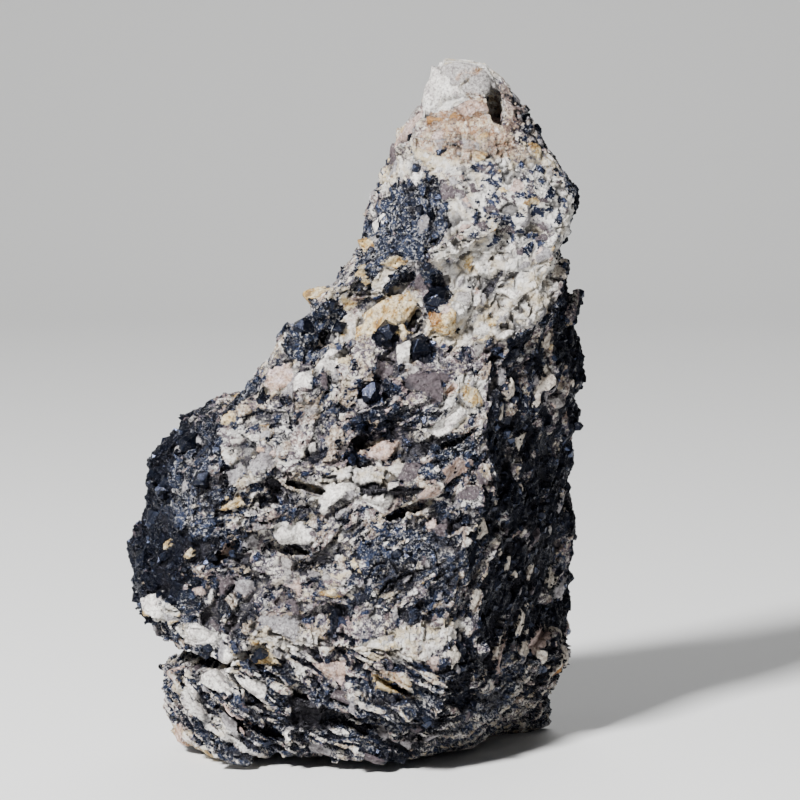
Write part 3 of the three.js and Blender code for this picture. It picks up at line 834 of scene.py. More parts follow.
@dataclass(frozen=True)
class Plate:
    """One larger grain that lies in the skin. Sizes are in millimetres.

    The rows of axes are its length, its width and the way out of the rock.
    """

    spot: np.ndarray
    axes: np.ndarray
    length: float
    width: float
    rise: float
    tint: Colour
    seed: int
    depth: float = 2.4

    def inside(self, local: np.ndarray) -> np.ndarray:
        """How far inside its many-sided outline points are.

        Args:
            local: Points along its axes, in millimetres.

        Returns:
            Distances to the outline, negative outside.
        """
        draw = np.random.default_rng(self.seed)
        count = int(draw.integers(4, 7))
        turns = (np.arange(count) + draw.uniform(-0.32, 0.32, count)) * 2 * math.pi / count
        far = np.hypot(self.length / 2 * np.cos(turns), self.width / 2 * np.sin(turns))
        far = far * draw.uniform(0.8, 1.0, count)
        sides = np.outer(np.cos(turns), local[:, 0]) + np.outer(np.sin(turns), local[:, 1])
        within = np.min(far[:, None] - sides, axis=0)
        within[np.abs(local[:, 2]) > self.depth] = -1.0
        return within

    def top(self, local: np.ndarray) -> np.ndarray:
        """How high its broken face stands at points: it leans, and has a step or two.

        Args:
            local: Points along its axes, in millimetres.

        Returns:
            Heights in millimetres.
        """
        draw = np.random.default_rng(self.seed + 1)
        face = self.rise + local[:, :2] @ draw.normal(0, 0.09, 2)
        for turn, slope in zip(draw.uniform(0, 2 * math.pi, 3), draw.uniform(0.15, 0.45, 3)):
            reach = math.hypot(self.length * math.cos(turn), self.width * math.sin(turn)) * draw.uniform(0.1, 0.3)
            past = local[:, 0] * math.cos(turn) + local[:, 1] * math.sin(turn) - reach
            face -= slope * np.maximum(past, 0.0)
        return face


# The grains that stand out from the front. Each row: x, z, length, width, thickness, angle, tone.
NAMED_PLATES = {
    Tint.CREAM: (
        (5.6, 70.7, 9.7, 4.7, 3.1, 27, 0.7), (1.8, 68.5, 4.7, 2.5, 2.2, 24, 0.6),
        (-5.7, 73.2, 6.3, 2.8, 2.2, 18, 0.35), (13.8, 68.5, 3.8, 2.8, 2.5, 20, 0.8),
        (18.1, 58.1, 4.1, 2.8, 1.9, 150, 0.4), (-18.4, 16.6, 5.3, 3.1, 2.2, 70, 0.7),
        (5.6, 14.8, 7.2, 2.4, 2.2, -22, 0.6), (-23, 1.3, 5.3, 1.7, 2.2, -14, 0.6),
        (20.3, 98, 1.6, 1.4, 1.3, 0, 0.2), (19.7, 94.7, 2.4, 1.6, 1.3, 20, 0.2),
        (28.4, 95.9, 2.2, 1.9, 1.6, 160, 0.3), (1.8, 80.5, 3.5, 1.3, 1.3, 40, 0.9),
        (6.4, 78.3, 2.8, 2.5, 1.6, 150, 0.6), (-29.3, 34.2, 2.2, 1.3, 1.9, 40, 0.0),
        (-25.8, 33.3, 2.5, 1.4, 1.9, 30, 0.0), (-19.5, 54.6, 2.8, 2.2, 1.9, 60, 0.4),
    ),
    Tint.WHITE: (
        (12.6, 104.4, 9, 3.6, 3, 62, 0.35), (15.2, 105.2, 4, 1.6, 3.6, 50, 0.5),
        (7.5, 64.4, 4.1, 2.4, 2.2, 90, 0.8), (-8.2, 60.3, 4.7, 2.2, 1.9, 38, 0.9),
        (-3.8, 63, 5.3, 1.4, 1.6, 35, 0.9), (14.4, 54, 7.2, 2.4, 2.5, 34, 0.85), (-2.6, 44, 6.3, 2.2, 2.2, 12, 0.8),
        (4, 43.6, 6.9, 2, 2.2, 24, 0.75), (-9.3, 36.9, 6.3, 4.1, 2.5, -10, 0.45),
        (-30.8, 24.5, 6.3, 3.1, 2.8, -22, 0.85), (-23.8, 21.2, 5.3, 2.8, 2.2, -24, 0.8),
        (-10.3, 5.3, 3.5, 0.9, 0.9, 66, 0.9), (-19.5, 17.3, 4.7, 2.5, 1.9, 100, 0.8),
        (3.7, 84.2, 4.1, 0.9, 1.3, 76, 0.9), (-25, 10.7, 8.5, 1.1, 1.9, -50, 0.6),
        (-21.9, 14.1, 8.0, 0.9, 1.6, -40, 0.7), (-16.4, 13.5, 7.0, 0.9, 1.6, -30, 0.7),
    ),
    Tint.DULL: (
        (16.5, 107.8, 7, 3.6, 3, 20, 0.6), (20.5, 106.3, 5.5, 3.0, 2.6, -35, 0.3),
        (18.4, 105.0, 4.4, 1.8, 3, -20, 0.8), (14.2, 107.6, 4.0, 2.4, 2.0, 60, 0.9),
    ),
    Tint.PINK: (
        (8.8, 99.4, 8.5, 2.4, 1.6, 60, 0.2), (18.5, 102.4, 6.0, 2.0, 2.0, -10, 0.1),
        (22.0, 100.0, 5.0, 1.6, 2.0, -30, 0.2), (-11.5, 60.6, 5.3, 3.5, 2.5, 38, 0.6),
        (4, 49.8, 4.7, 2.4, 2.2, 4, 0.5), (11.6, 43.5, 4.4, 2.2, 1.9, 20, 0.5),
        (15.3, 46.8, 4.7, 2.8, 1.9, 50, 0.5), (-20.2, 33.8, 2.5, 1.9, 1.6, 0, 0.5),
        (-27.7, 2.8, 4.1, 3.1, 3.1, -50, 0.7), (-3.8, 16.2, 6.4, 1.1, 1.6, -22, 0.5),
        (-18.7, 9.1, 6.0, 0.9, 1.6, -38, 0.6), (-29, 14.6, 3.8, 1.0, 1.6, -50, 0.8),
    ),
    # Painted shadow: cracks and a recess, cut in as hollows and coloured near black.
    Tint.GAP: (
        (13.4, 51.7, 4.8, 0.5, -5, 8, 0.5), (6.3, 43, 10, 0.56, -5, 20, 0.5), (-11.8, 43.6, 5.4, 0.5, -5, -16, 0.5),
        (-9.3, 34.7, 4, 0.43, -4, -8, 0.5), (1, 51.2, 3.2, 0.93, -6, 12, 0.5),
        (-17.3, 32.8, 3.6, 0.62, -5, 40, 0.5), (-6.2, 32.8, 5.8, 0.5, -4, 8, 0.5),
        (-3.5, 10.4, 13, 1.36, -6, -8, 0.5), (9.5, 49.4, 6, 0.62, -4, 30, 0.5), (6.6, 14, 4, 0.43, -4, -20, 0.5),
        (21.5, 75.5, 5, 0.5, -4, 50, 0.5),
    ),
    Tint.AMBER: (
        (12.4, 100.5, 3.0, 0.8, 0.8, -12, 0.2), (16.0, 101.0, 2.6, 0.6, 0.8, -10, 0.0),
        (12.6, 69.7, 3.4, 2.6, 1.6, 160, 0.6), (7.5, 13.7, 2.5, 1.3, 1.3, -20, 0.8),
        (32.9, 10.7, 2.5, 1.6, 1.6, 60, 0.9),
    ),
    Tint.LENS: (
        (24.4, 58.6, 3.8, 1.4, 1.6, 82, 0.9), (22.9, 55.4, 3.1, 1.3, 1.4, 82, 0.7),
        (29.9, 60.1, 4.7, 1.4, 1.6, 82, 0.8), (28.8, 55.9, 4.1, 1.3, 1.4, 80, 0.7),
        (30.2, 65.6, 3.5, 1.1, 1.4, 82, 0.7), (26, 49.9, 3.5, 1.3, 1.4, 78, 0.5),
        (34.6, 58.6, 1.9, 0.9, 1.3, 80, 0.8), (22.4, 17, 3.1, 1.4, 1.6, 35, 0.9),
        (26.3, 20.4, 4.4, 2, 1.9, 72, 0.9), (26.8, 16.6, 3.1, 2.2, 1.9, 66, 0.95),
        (30.1, 14.6, 2.5, 1.4, 1.6, 80, 0.95), (34.3, 12.9, 3.8, 2.2, 1.9, 62, 0.7),
        (30.4, 6.6, 2.8, 1.7, 1.6, 20, 0.9), (31.7, 26.4, 4.1, 1.3, 1.4, 70, 0.4),
        (18.5, 26.4, 4.1, 1.4, 1.6, 70, 0.8), (15.3, 18.5, 4.1, 1.3, 1.4, 76, 0.6),
        (28, 28.7, 3.1, 0.9, 1.3, 74, 0.5), (24.1, 31.1, 3.1, 1.1, 1.3, 78, 0.4),
        (27.6, 10.7, 2.2, 1.1, 1.4, 70, 0.5), (19.7, 37.4, 3.8, 1.3, 1.4, 76, 0.5),
        (32.3, 18.5, 3.5, 1.3, 1.4, 74, 0.5), (32, 76.6, 2.2, 1.9, 2.2, 20, 0.7),
    ),
    Tint.MAUVE: (
        (14.7, 89.2, 4.4, 1.7, 1.0, -4, 0.9), (11.1, 60, 8.2, 4.1, 1.9, -14, 0.4),
        (8.7, 46.8, 5.3, 1.9, 1.6, 34, 0.5), (17.5, 43.2, 4, 1.8, 1.5, 30, 0.5), (4.8, 61.5, 3, 2.2, 1.5, 10, 0.4),
    ),
    Tint.GREY: (
        (-11.7, 22.9, 8.2, 2.2, 1.6, -24, 0.4), (-14.5, 47.5, 4.5, 3, 1.6, 20, 0.5),
        (-17, 28.5, 3.6, 2.4, 1.6, 0, 0.5),
    ),
}


@dataclass
class Inlay:
    """The larger grains in the skin: the ones that stand out by name, and many more along the layers."""

    seed: int = 31
    plates: list[Plate] = field(default_factory=list)

    def name(self, skin: "RockSkin") -> None:
        """Adds the grains that stand out, where they show from the front.

        Args:
            skin: The rock's skin.
        """
        for tint, rows in NAMED_PLATES.items():
            for x, z, length, width, thick, angle, tone in rows:
                spot, out = skin.seen(x, z)
                along = laid_on(seen_way(angle), out)
                self.add(spot, along, out, (length, width, 0.2 * thick), tint, tone)

    def add(self, spot: Vector, along: Vector, out: Vector, size: tuple[float, ...], tint: Tint, tone: float) -> None:
        """Adds one plate.

        Args:
            spot: Its middle, in millimetres.
            along: The way of its length.
            out: The way out of the rock.
            size: Its length, its width and how far it stands out.
            tint: Its kind of colour.
            tone: How bright it is, from 0 to 1.
        """
        axes = np.array((along, out.cross(along), out))
        shade = tuple(part * (0.72 + 0.4 * tone) for part in tint.value)
        self.plates.append(Plate(np.array(spot), axes, *size, shade, 1000 + 7 * len(self.plates)))

    def strew(self, skin: "RockSkin", place: np.ndarray, facing: np.ndarray, shares: np.ndarray) -> None:
        """Adds grains along the layers, more where the ore is pale, and lenses on the right flank.

        Args:
            skin: The rock's skin.
            place: Its corners, in millimetres.
            facing: Their outward directions.
            shares: The minerals' shares there.
        """
        draw = np.random.default_rng(self.seed)
        standing = smooth_step(2.0, 5.0, place[:, 2])
        cap = tip_weight(place, 1.5, 1.0)
        right = smooth_step(0.4, 0.7, facing[:, 0])
        low = smooth_step(-20.0, -15.0, -place[:, 2])
        kinds = (
            ((Tint.WHITE, Tint.CREAM, Tint.GREY, Tint.PINK), 330, (0.9, 3.4), (0.25, 0.55),
             standing * (1 - cap) * (1 - right) * (1 - 0.8 * low) * np.clip(shares[:, 1] - 0.2, 0, 1)),
            ((Tint.GREY, Tint.DULL, Tint.GREY, Tint.MAUVE), 420, (1.0, 3.6), (0.3, 0.6),
             standing * (1 - cap) * (1 - 0.8 * shares[:, 0]) * (1 - 0.6 * shares[:, 1])),
            ((Tint.STEEL, Tint.STEEL, Tint.STEEL, Tint.STEEL), 700, (0.6, 2.2), (0.3, 0.6),
             standing * (1 - cap) * (1 - right) * np.clip(1 - np.abs(shares[:, 0] - 0.35) / 0.3, 0, 1)),
            ((Tint.LENS, Tint.LENS, Tint.GREY, Tint.PINK), 60, (1.4, 5.0), (0.2, 0.34), standing * (0.02 + right)),
            ((Tint.STEEL, Tint.STEEL, Tint.MAUVE, Tint.STEEL), 150, (0.7, 2.8), (0.3, 0.55),
             (1 - right) * (facing[:, 1] < -0.1) * SPECKLED.weight(place[:, 0], place[:, 2])),
        )
        for tints, count, lengths, widths, weight in kinds:
            for spot in draw.choice(len(place), size=count, replace=False, p=weight / weight.sum()):
                out = Vector(facing[spot]).normalized()
                steep = Vector((0.2, 0.5, 1.0))
                along = steep if facing[spot][0] > 0.5 else skin.layers.normal(place[spot]).cross(out)
                along = laid_on((along.normalized() + Vector(draw.normal(0, 0.2, 3))).normalized(), out)
                length = lengths[0] + (lengths[1] - lengths[0]) * draw.random() ** 2
                slim = 0.42 if place[spot][2] < skin.layers.foot_fault else 1.0
                width = length * slim * draw.uniform(*widths)
                size = (length / math.sqrt(slim), width, draw.uniform(0.05, 0.11) * length)
                self.add(Vector(place[spot]), along, out, size, tints[int(draw.integers(4))], draw.random())

    def lay(self, rock: bpy.types.Object) -> None:
        """Stores on the skin how far inside a plate each corner is, the plate's tint and its height.

        Args:
            rock: The skin's piece.
        """
        place, _ = read(rock)
        tree = KDTree(len(place))
        for number, point in enumerate(place.tolist()):
            tree.insert(point, number)
        tree.balance()
        edge, height = np.full(len(place), -1.0), np.zeros(len(place))
        tint = np.zeros((len(place), 3))
        for plate in self.plates:
            near = np.array([found[1] for found in tree.find_range(plate.spot, plate.length / 2 + 1.3)], dtype=int)
            local = (place[near] - plate.spot) @ plate.axes.T
            within = plate.inside(local)
            better = within > edge[near]
            spots, within, local = near[better], within[better], local[better]
            edge[spots] = within
            tint[spots] = plate.tint
            moat = 0.32 * np.exp(-(((within + 0.3) / 0.2) ** 2))
            height[spots] = smooth_step(-0.12, 0.14, within) * plate.top(local) - moat
        write(rock, "edge", np.clip(edge, -1.0, 1.0))
        write(rock, "tint", tint)
        write(rock, "plate", height)
        LOG.info("inlay: %d larger grains", len(self.plates))


# ---------------------------------------------------------------- the skin


def select_only(piece: bpy.types.Object) -> None:
    """Makes a piece the only selected one, and the active one.

    Args:
        piece: The piece.
    """
    bpy.ops.object.select_all(action="DESELECT")
    piece.select_set(True)
    bpy.context.view_layer.objects.active = piece


def apply(piece: bpy.types.Object, kind: str, **settings: object) -> None:
    """Adds a modifier and applies it.

    Args:
        piece: The piece to change.
        kind: The modifier's type.
        **settings: Its settings.
    """
    select_only(piece)
    modifier = piece.modifiers.new(kind.title(), kind)
    for name, value in settings.items():
        setattr(modifier, name, value)
    bpy.ops.object.modifier_apply(modifier=modifier.name)


def read(piece: bpy.types.Object) -> tuple[np.ndarray, np.ndarray]:
    """The corners of a mesh and their outward directions.

    Args:
        piece: The piece to read.

    Returns:
        Places in millimetres and directions, one row a corner.
    """
    count = len(piece.data.vertices)
    place = np.empty(count * 3)
    piece.data.vertices.foreach_get("co", place)
    facing = np.empty(count * 3)
    piece.data.vertex_normals.foreach_get("vector", facing)
    return place.reshape(-1, 3) / MM, facing.reshape(-1, 3)


def write(piece: bpy.types.Object, name: str, values: np.ndarray) -> None:
    """Stores values on a mesh's corners.

    Args:
        piece: The piece.
        name: The attribute's name.
        values: One number or one vector a corner.
    """
    kind, key = ("FLOAT_VECTOR", "vector") if values.ndim > 1 else ("FLOAT", "value")
    made = piece.data.attributes.new(name, kind, "POINT")
    made.data.foreach_set(key, np.ascontiguousarray(values, dtype=np.float32).ravel())


def stored(piece: bpy.types.Object, name: str) -> np.ndarray:
    """Reads what write has stored.

    Args:
        piece: The piece.
        name: The attribute's name.

    Returns:
        One number or one vector a corner.
    """
    made = piece.data.attributes[name]
    wide = made.data_type == "FLOAT_VECTOR"
    values = np.empty((len(made.data), 3) if wide else len(made.data), dtype=np.float32)
    made.data.foreach_get("vector" if wide else "value", values.ravel())
    return values


@dataclass
class BrokenRelief:
    """The broken grains in the skin, as an applied modifier. Heights are in millimetres."""

    grains: tuple[tuple[float, float], ...] = ((5.5, 0.4), (GRAIN, 0.6), (FINE_GRAIN, 0.8))
    ledge_size: float = 4.2
    ledge_height: float = 0.55
    pit_depth: float = 0.8
    crack_depth: float = 1.1
    leaf_height: float = 1.5
    grit_height: float = 0.34
    inset: float = 0.1

    def tree(self) -> bpy.types.NodeTree:
        """Builds the modifier's tree.

        Returns:
            The geometry tree, which moves each corner along its normal and keeps by how much.
        """
        tree = bpy.data.node_groups.new("broken relief", "GeometryNodeTree")
        tree.interface.new_socket("Geometry", in_out="INPUT", socket_type="NodeSocketGeometry")
        tree.interface.new_socket("Geometry", in_out="OUTPUT", socket_type="NodeSocketGeometry")
        bench = Bench(tree)
        given = bench.get("NodeGroupInput")

        def named(name: str, kind: str = "FLOAT") -> Wire:
            """Reads an attribute."""
            return bench.get("GeometryNodeInputNamedAttribute", "Attribute", {"Name": name}, data_type=kind)

        layered = named("layered", "FLOAT_VECTOR")
        calm = named("calm") * (1.0 - bench.ramp(named("edge"), -0.15, 0.1) * 0.82)
        height, fallen = self.broken(bench, layered)
        height = height + self.ledges(bench, layered) + fallen * -self.pit_depth
        seam = bench.math("ABSOLUTE", bench.noise(layered, 1.0, 2.0, 0.5, stretch=(0.1, 0.1, 0.62)) - 0.5)
        torn = bench.ramp(bench.noise(layered, 11.0, 1.0, shift=(0.0, 30.0, 0.0)), 0.5, 0.62)
        height -= bench.ramp(seam, 0.022, 0.004) * torn * self.crack_depth
        leaves = bench.ramp(bench.noise(layered, 1.0, 3.0, 0.55, stretch=LEAF_SCALE), 0.42, 0.58) - 0.5
        height -= leaves * named("foot") * self.leaf_height
        place = bench.vector("MULTIPLY", bench.get("GeometryNodeInputPosition"), (1 / MM, 1 / MM, 1 / MM))
        height += (bench.noise(place, 0.9, 3.0, 0.7) - 0.5) * (self.grit_height * 2)
        height = height * calm + named("plate")
        normal = bench.get("GeometryNodeInputNormal")
        out = (height - self.inset) * MM
        move = bench.get("ShaderNodeVectorMath", 0, {0: normal, "Scale": out}, operation="SCALE")
        moved = bench.get("GeometryNodeSetPosition", 0, {"Geometry": given, "Offset": move})
        kept = {"Geometry": moved, "Name": "relief"}
        keep = bench.add("GeometryNodeStoreNamedAttribute", kept, data_type="FLOAT", domain="POINT")
        bench.put(keep.inputs["Value"], height)
        bench.add("NodeGroupOutput", {0: Wire(bench, keep.outputs[0])})
        return tree

    def broken(self, bench: Bench, layered: Wire) -> tuple[Wire, Wire]:
        """Grains with tilted faces, of which some stand out and a few have fallen out.

        Args:
            bench: The tree's nodes.
            layered: The layered coordinates.

        Returns:
            The height, and the mask of the fallen ones.
        """
        height = fallen = None
        for size, amount in self.grains:
            chips, lean = bench.cells(layered, size)
            part = lean * (amount * size / 2)
            height = height + part if height else part
            if size == GRAIN:
                height += (chips[2] - 0.5) * 0.5
                fallen = bench.ramp(chips[1], 0.9, 0.94)
        return height, fallen

    def ledges(self, bench: Bench, layered: Wire) -> Wire:
        """Stepped layers, which come and go.

        Args:
            bench: The tree's nodes.
            layered: The layered coordinates.

        Returns:
            The height.
        """
        wave = bench.noise(layered, 5.0, 2.0) * 1.6
        part = bench.math("FRACT", bench.parts(layered)[2] / self.ledge_size + wave)
        comes = bench.ramp(bench.noise(layered, 9.0, 1.0, shift=(40.0, 0.0, 0.0)), 0.42, 0.6)
        return (0.5 - part) * self.ledge_height * comes


@dataclass
class RockSkin:
    """The rock's surface: the block of the frame, with its broken grains cut in and its minerals laid out."""

    voxel: float = 0.26 * MM
    smooth_angle: float = 40.0
    most_faces: int = 190_000
    sight: float = 80.0
    around: float = 3.0
    layers: Layers = field(default_factory=Layers)
    zones: Zones = field(default_factory=Zones)
    relief: BrokenRelief = field(default_factory=BrokenRelief)
    inlay: Inlay = field(default_factory=Inlay)
    piece: bpy.types.Object | None = None

    def build(self) -> None:
        """Models the skin and dresses it."""
        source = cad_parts[NODE]
        rock = bpy.data.objects.new("rock", source.data.copy())
        bpy.context.scene.collection.objects.link(rock)
        rock.data.materials.clear()
        select_only(rock)
        bpy.ops.object.mode_set(mode="EDIT")
        bpy.ops.mesh.select_all(action="SELECT")
        bpy.ops.mesh.remove_doubles(threshold=1e-6)
        bpy.ops.object.mode_set(mode="OBJECT")
        apply(rock, "REMESH", mode="VOXEL", voxel_size=self.voxel)
        apply(rock, "SMOOTH", factor=0.5, iterations=2)
        self.piece = rock
        self.mark(rock)
        apply(rock, "NODES", node_group=self.relief.tree())
        self.trim(rock)
        bpy.ops.object.shade_smooth_by_angle(angle=math.radians(self.smooth_angle))
        rock.data.materials.append(OreFinish().material())
        LOG.info("rock: %d faces", len(rock.data.polygons))

    def part(self) -> None:
        """Parts the finished skin into pieces of few enough faces: slices from the foot up, front and back."""
        rock = self.piece
        middles = np.empty(len(rock.data.polygons) * 3)
        rock.data.polygons.foreach_get("center", middles)
        middles = middles.reshape(-1, 3)
        rows = math.ceil(len(middles) / self.most_faces)
        order = np.argsort(middles[:, 1])
        slices = [half[np.argsort(middles[half, 2])] for half in np.array_split(order, 2)]
        groups = [group for half in slices for group in np.array_split(half, rows)]
        owner = np.zeros(len(middles), dtype=np.int32)
        for number, group in enumerate(groups):
            owner[group] = number
        rock.data.attributes.new("slice", "INT", "FACE").data.foreach_set("value", owner)
        pieces = [rock]
        for number in range(1, len(groups)):
            ids = np.empty(len(rock.data.polygons), dtype=np.int32)
            rock.data.attributes["slice"].data.foreach_get("value", ids)
            for parts in (rock.data.vertices, rock.data.edges):
                parts.foreach_set("select", np.zeros(len(parts), dtype=bool))
            rock.data.polygons.foreach_set("select", ids == number)
            select_only(rock)
            bpy.ops.object.mode_set(mode="EDIT")
            bpy.ops.mesh.select_mode(type="FACE")
            bpy.ops.mesh.separate(type="SELECTED")
            bpy.ops.object.mode_set(mode="OBJECT")
            pieces += [piece for piece in bpy.context.selected_objects if piece != rock and piece not in pieces]
        for number, piece in enumerate(pieces):
            piece.name = f"rock_{number}"
            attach(piece, "root")
            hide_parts(NODE)
            LOG.info("%s: %d faces", piece.name, len(piece.data.polygons))

    def mark(self, rock: bpy.types.Object) -> None:
        """Stores the layered coordinates, the minerals' shares, and where the relief is calm or leafy.

        Args:
            rock: The skin's piece.
        """
        place, facing = read(rock)
        write(rock, "layered", self.layers.coordinates(place))
        shares = self.zones.shares(place, facing)
        write(rock, "shares", shares)
        self.inlay.name(self)
        self.inlay.strew(self, place, facing, shares)
        self.inlay.lay(rock)
        z = place[:, 2]
        cap = tip_weight(place, 1.3, 0.8)
        base = smooth_step(0.2, 2.2, z)
        tower = smooth_step(74.0, 80.0, z) * smooth_step(0.0, 0.4, -facing[:, 1])
        foot = smooth_step(-20.0, -13.0, -z)
        write(rock, "calm", (1 - 0.6 * cap) * (1 - 0.4 * tower) * (1 - 0.3 * foot) * base)
        leafy = smooth_step(-24.0, -12.0, -z + 3 * noise_of(place, 8.0, 9.0))
        behind = smooth_step(-0.1, 0.4, facing[:, 1])
        write(rock, "foot", leafy * (1 - 0.75 * behind) * 0.9 + 0.1)

    def seen(self, x: float, z: float) -> tuple[Vector, Vector]:
        """Where the rock is met when looked at from the front.

        Args:
            x: The place to the right, in millimetres.
            z: The height.

        Returns:
            The place in millimetres, and the smooth direction out of the rock there.
        """
        hit, spot, _, _ = self.piece.ray_cast(Vector((x, -self.sight, z)) * MM, Vector((0, 1, 0)))
        corners, facing = read(self.piece)
        if not hit:
            nearest = corners[np.argmin(((corners[:, [0, 2]] - (x, z)) ** 2).sum(1) + 0.01 * corners[:, 1])]
            spot = Vector(nearest) * MM
        near = ((corners - np.array(spot) / MM) ** 2).sum(1) < self.around**2
        out = Vector(facing[near].mean(0)).normalized()
        return spot / MM, out

    def trim(self, rock: bpy.types.Object) -> None:
        """Keeps the corners inside the frame's box and on the ground.

        Args:
            rock: The skin's piece.
        """
        place, _ = read(rock)
        low, high = (np.array(corner) / MM for corner in CAD_BOX)
        rock.data.vertices.foreach_set("co", (np.clip(place, low, high) * MM).ravel())
        rock.data.update()


# ---------------------------------------------------------------- loose grains


class Form(Enum):
    """The shapes of loose grains."""

    CRYSTAL = "crystal"
    LARGE_CRYSTAL = "large crystal"
    CRUMB = "crumb"


@dataclass(frozen=True)
class Grain:
    """One grain about 1 across: its corners and its faces."""

    corners: np.ndarray
    faces: tuple[tuple[int, ...], ...]


@dataclass(frozen=True)
class GrainBench:
    """Models grains by hand: a start shape, broken along flat planes."""

    draw: np.random.Generator

    def take(self) -> Grain:
        """Leaves edit mode and takes the modelled shape off the table.

        Returns:
            The shape.
        """
        bpy.ops.object.mode_set(mode="OBJECT")
        made = bpy.context.object
        corners = np.array([corner.co[:] for corner in made.data.vertices])
        faces = tuple(tuple(face.vertices) for face in made.data.polygons)
        bpy.data.objects.remove(made)
        return Grain(corners, faces)

    def broken(self, cuts: int, near: float, far: float) -> None:
        """Breaks the shape in edit mode along random planes.

        Args:
            cuts: How many planes.
            near: The nearest that a plane comes to the middle.
            far: The farthest.
        """
        for _ in range(cuts):
            out = Vector(self.draw.normal(0, 1, 3)).normalized()
            bpy.ops.mesh.select_all(action="SELECT")
            bpy.ops.mesh.bisect(
                plane_co=out * self.draw.uniform(near, far), plane_no=out, use_fill=True, clear_outer=True
            )

    def model(self, form: Form) -> Grain:
        """Models one grain.

        Args:
            form: Its shape.

        Returns:
            The grain.
        """
        bpy.ops.object.select_all(action="DESELECT")
        if form is Form.CRUMB:
            bpy.ops.mesh.primitive_uv_sphere_add(segments=4, ring_count=2, radius=0.5)
            bpy.ops.object.mode_set(mode="EDIT")
            bpy.ops.transform.vertex_random(offset=0.16, seed=int(self.draw.integers(1000)))
            return self.take()
        bpy.ops.mesh.primitive_uv_sphere_add(segments=4, ring_count=2, radius=0.6)
        bpy.ops.object.mode_set(mode="EDIT")
        self.broken(4, 0.34, 0.5)
        if form is Form.LARGE_CRYSTAL:
            bpy.ops.mesh.select_all(action="SELECT")
            bpy.ops.mesh.bevel(offset=0.03, segments=1, affect="EDGES", clamp_overlap=True)
        return self.take()


def assemble(
    name: str, grains: list[Grain], finish: GrainFinish | None, tones: np.ndarray | None = None
) -> bpy.types.Object:
    """Makes one piece of placed grains.

    Args:
        name: The piece's name.
        grains: The placed grains, with corners in millimetres.
        finish: Its finish, or none if it gets one later.
        tones: A tone from 0 to 1 a grain, or random ones.

    Returns:
        The piece, riding on the rock.
    """
    low, high = (np.array(corner) / MM for corner in CAD_BOX)
    points = np.clip(np.concatenate([grain.corners for grain in grains]), low, high) * MM
    starts = np.cumsum([0] + [len(grain.corners) for grain in grains])
    faces = [tuple(n + start for n in face) for grain, start in zip(grains, starts.tolist()) for face in grain.faces]
    mesh = bpy.data.meshes.new(name)
    mesh.from_pydata(points.tolist(), [], faces)
    piece = bpy.data.objects.new(name, mesh)
    bpy.context.scene.collection.objects.link(piece)
    if tones is None:
        tones = np.random.default_rng(len(grains)).random(len(grains))
    write(piece, "tone", np.repeat(tones, [len(grain.corners) for grain in grains]))
    if finish:
        mesh.materials.append(finish.material())
    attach(piece, "root")
    LOG.info("%s: %d grains, %d faces", name, len(grains), len(faces))
    return piece


@dataclass
class Scatter:
    """Many small grains of one kind, set into the rock's skin as one piece. Sizes are in millimetres."""

    name: str
    mineral: Mineral
    form: Form
    count: int
    size: tuple[float, float]
    shape: Triple
    sink: float
    seed: int

    def chance(self, place: np.ndarray, facing: np.ndarray, shares: np.ndarray) -> np.ndarray:
        """How likely a grain is at each corner of the skin.

        Args:
            place: Corners in millimetres.
            facing: Their outward directions.
            shares: The minerals' shares there.

        Returns:
            Weights, not yet adding up to one.
        """
        standing = smooth_step(2.0, 5.0, place[:, 2])
        dark, pale = shares[:, 0], shares[:, 1]
        cap = tip_weight(place, 1.5, 1.0)
        foot = smooth_step(-20.0, -12.0, -place[:, 2])
        if self.mineral is Mineral.FRANKLINITE:
            return standing * np.clip(dark - 0.5, 0, 1) ** 1.4 * (1 - cap) * (1 - 0.85 * foot)
        right = smooth_step(0.4, 0.7, facing[:, 0])
        return standing * (1 - 0.8 * cap) * (0.3 + pale) * (1 - 0.8 * foot) * (1 - 0.85 * right)

    def build(self, skin: RockSkin) -> bpy.types.Object:
        """Sets the grains.

        Args:
            skin: The finished rock.

        Returns:
            The piece.
        """
        draw = np.random.default_rng(self.seed)
        models = [GrainBench(draw).model(self.form) for _ in range(6)]
        place, facing = read(skin.piece)
        weight = self.chance(place, facing, stored(skin.piece, "shares"))
        spots = draw.choice(len(place), size=self.count, replace=False, p=weight / weight.sum())
        placed = []
        for number, spot in enumerate(spots):
            model = models[number % len(models)]
            size = self.size[0] + (self.size[1] - self.size[0]) * draw.random() ** 2.4
            turn = np.array(Euler(draw.uniform(0, 2 * math.pi, 3)).to_matrix())
            turn = turn * (size * np.array(self.shape) * draw.uniform(0.8, 1.2, 3))
            middle = place[spot] - facing[spot] * size * self.sink
            placed.append(Grain(model.corners @ turn.T + middle, model.faces))
        if self.mineral is not Mineral.MIXED:
            return assemble(self.name, placed, FINISHES[self.mineral])
        piece = assemble(self.name, placed, None)
        piece.data.materials.append(skin.piece.data.materials[0])
        counts = [len(grain.corners) for grain in placed]
        for name in ("layered", "shares", "tint", "edge", "foot"):
            write(piece, name, np.repeat(stored(skin.piece, name)[spots], counts, axis=0))
        return piece


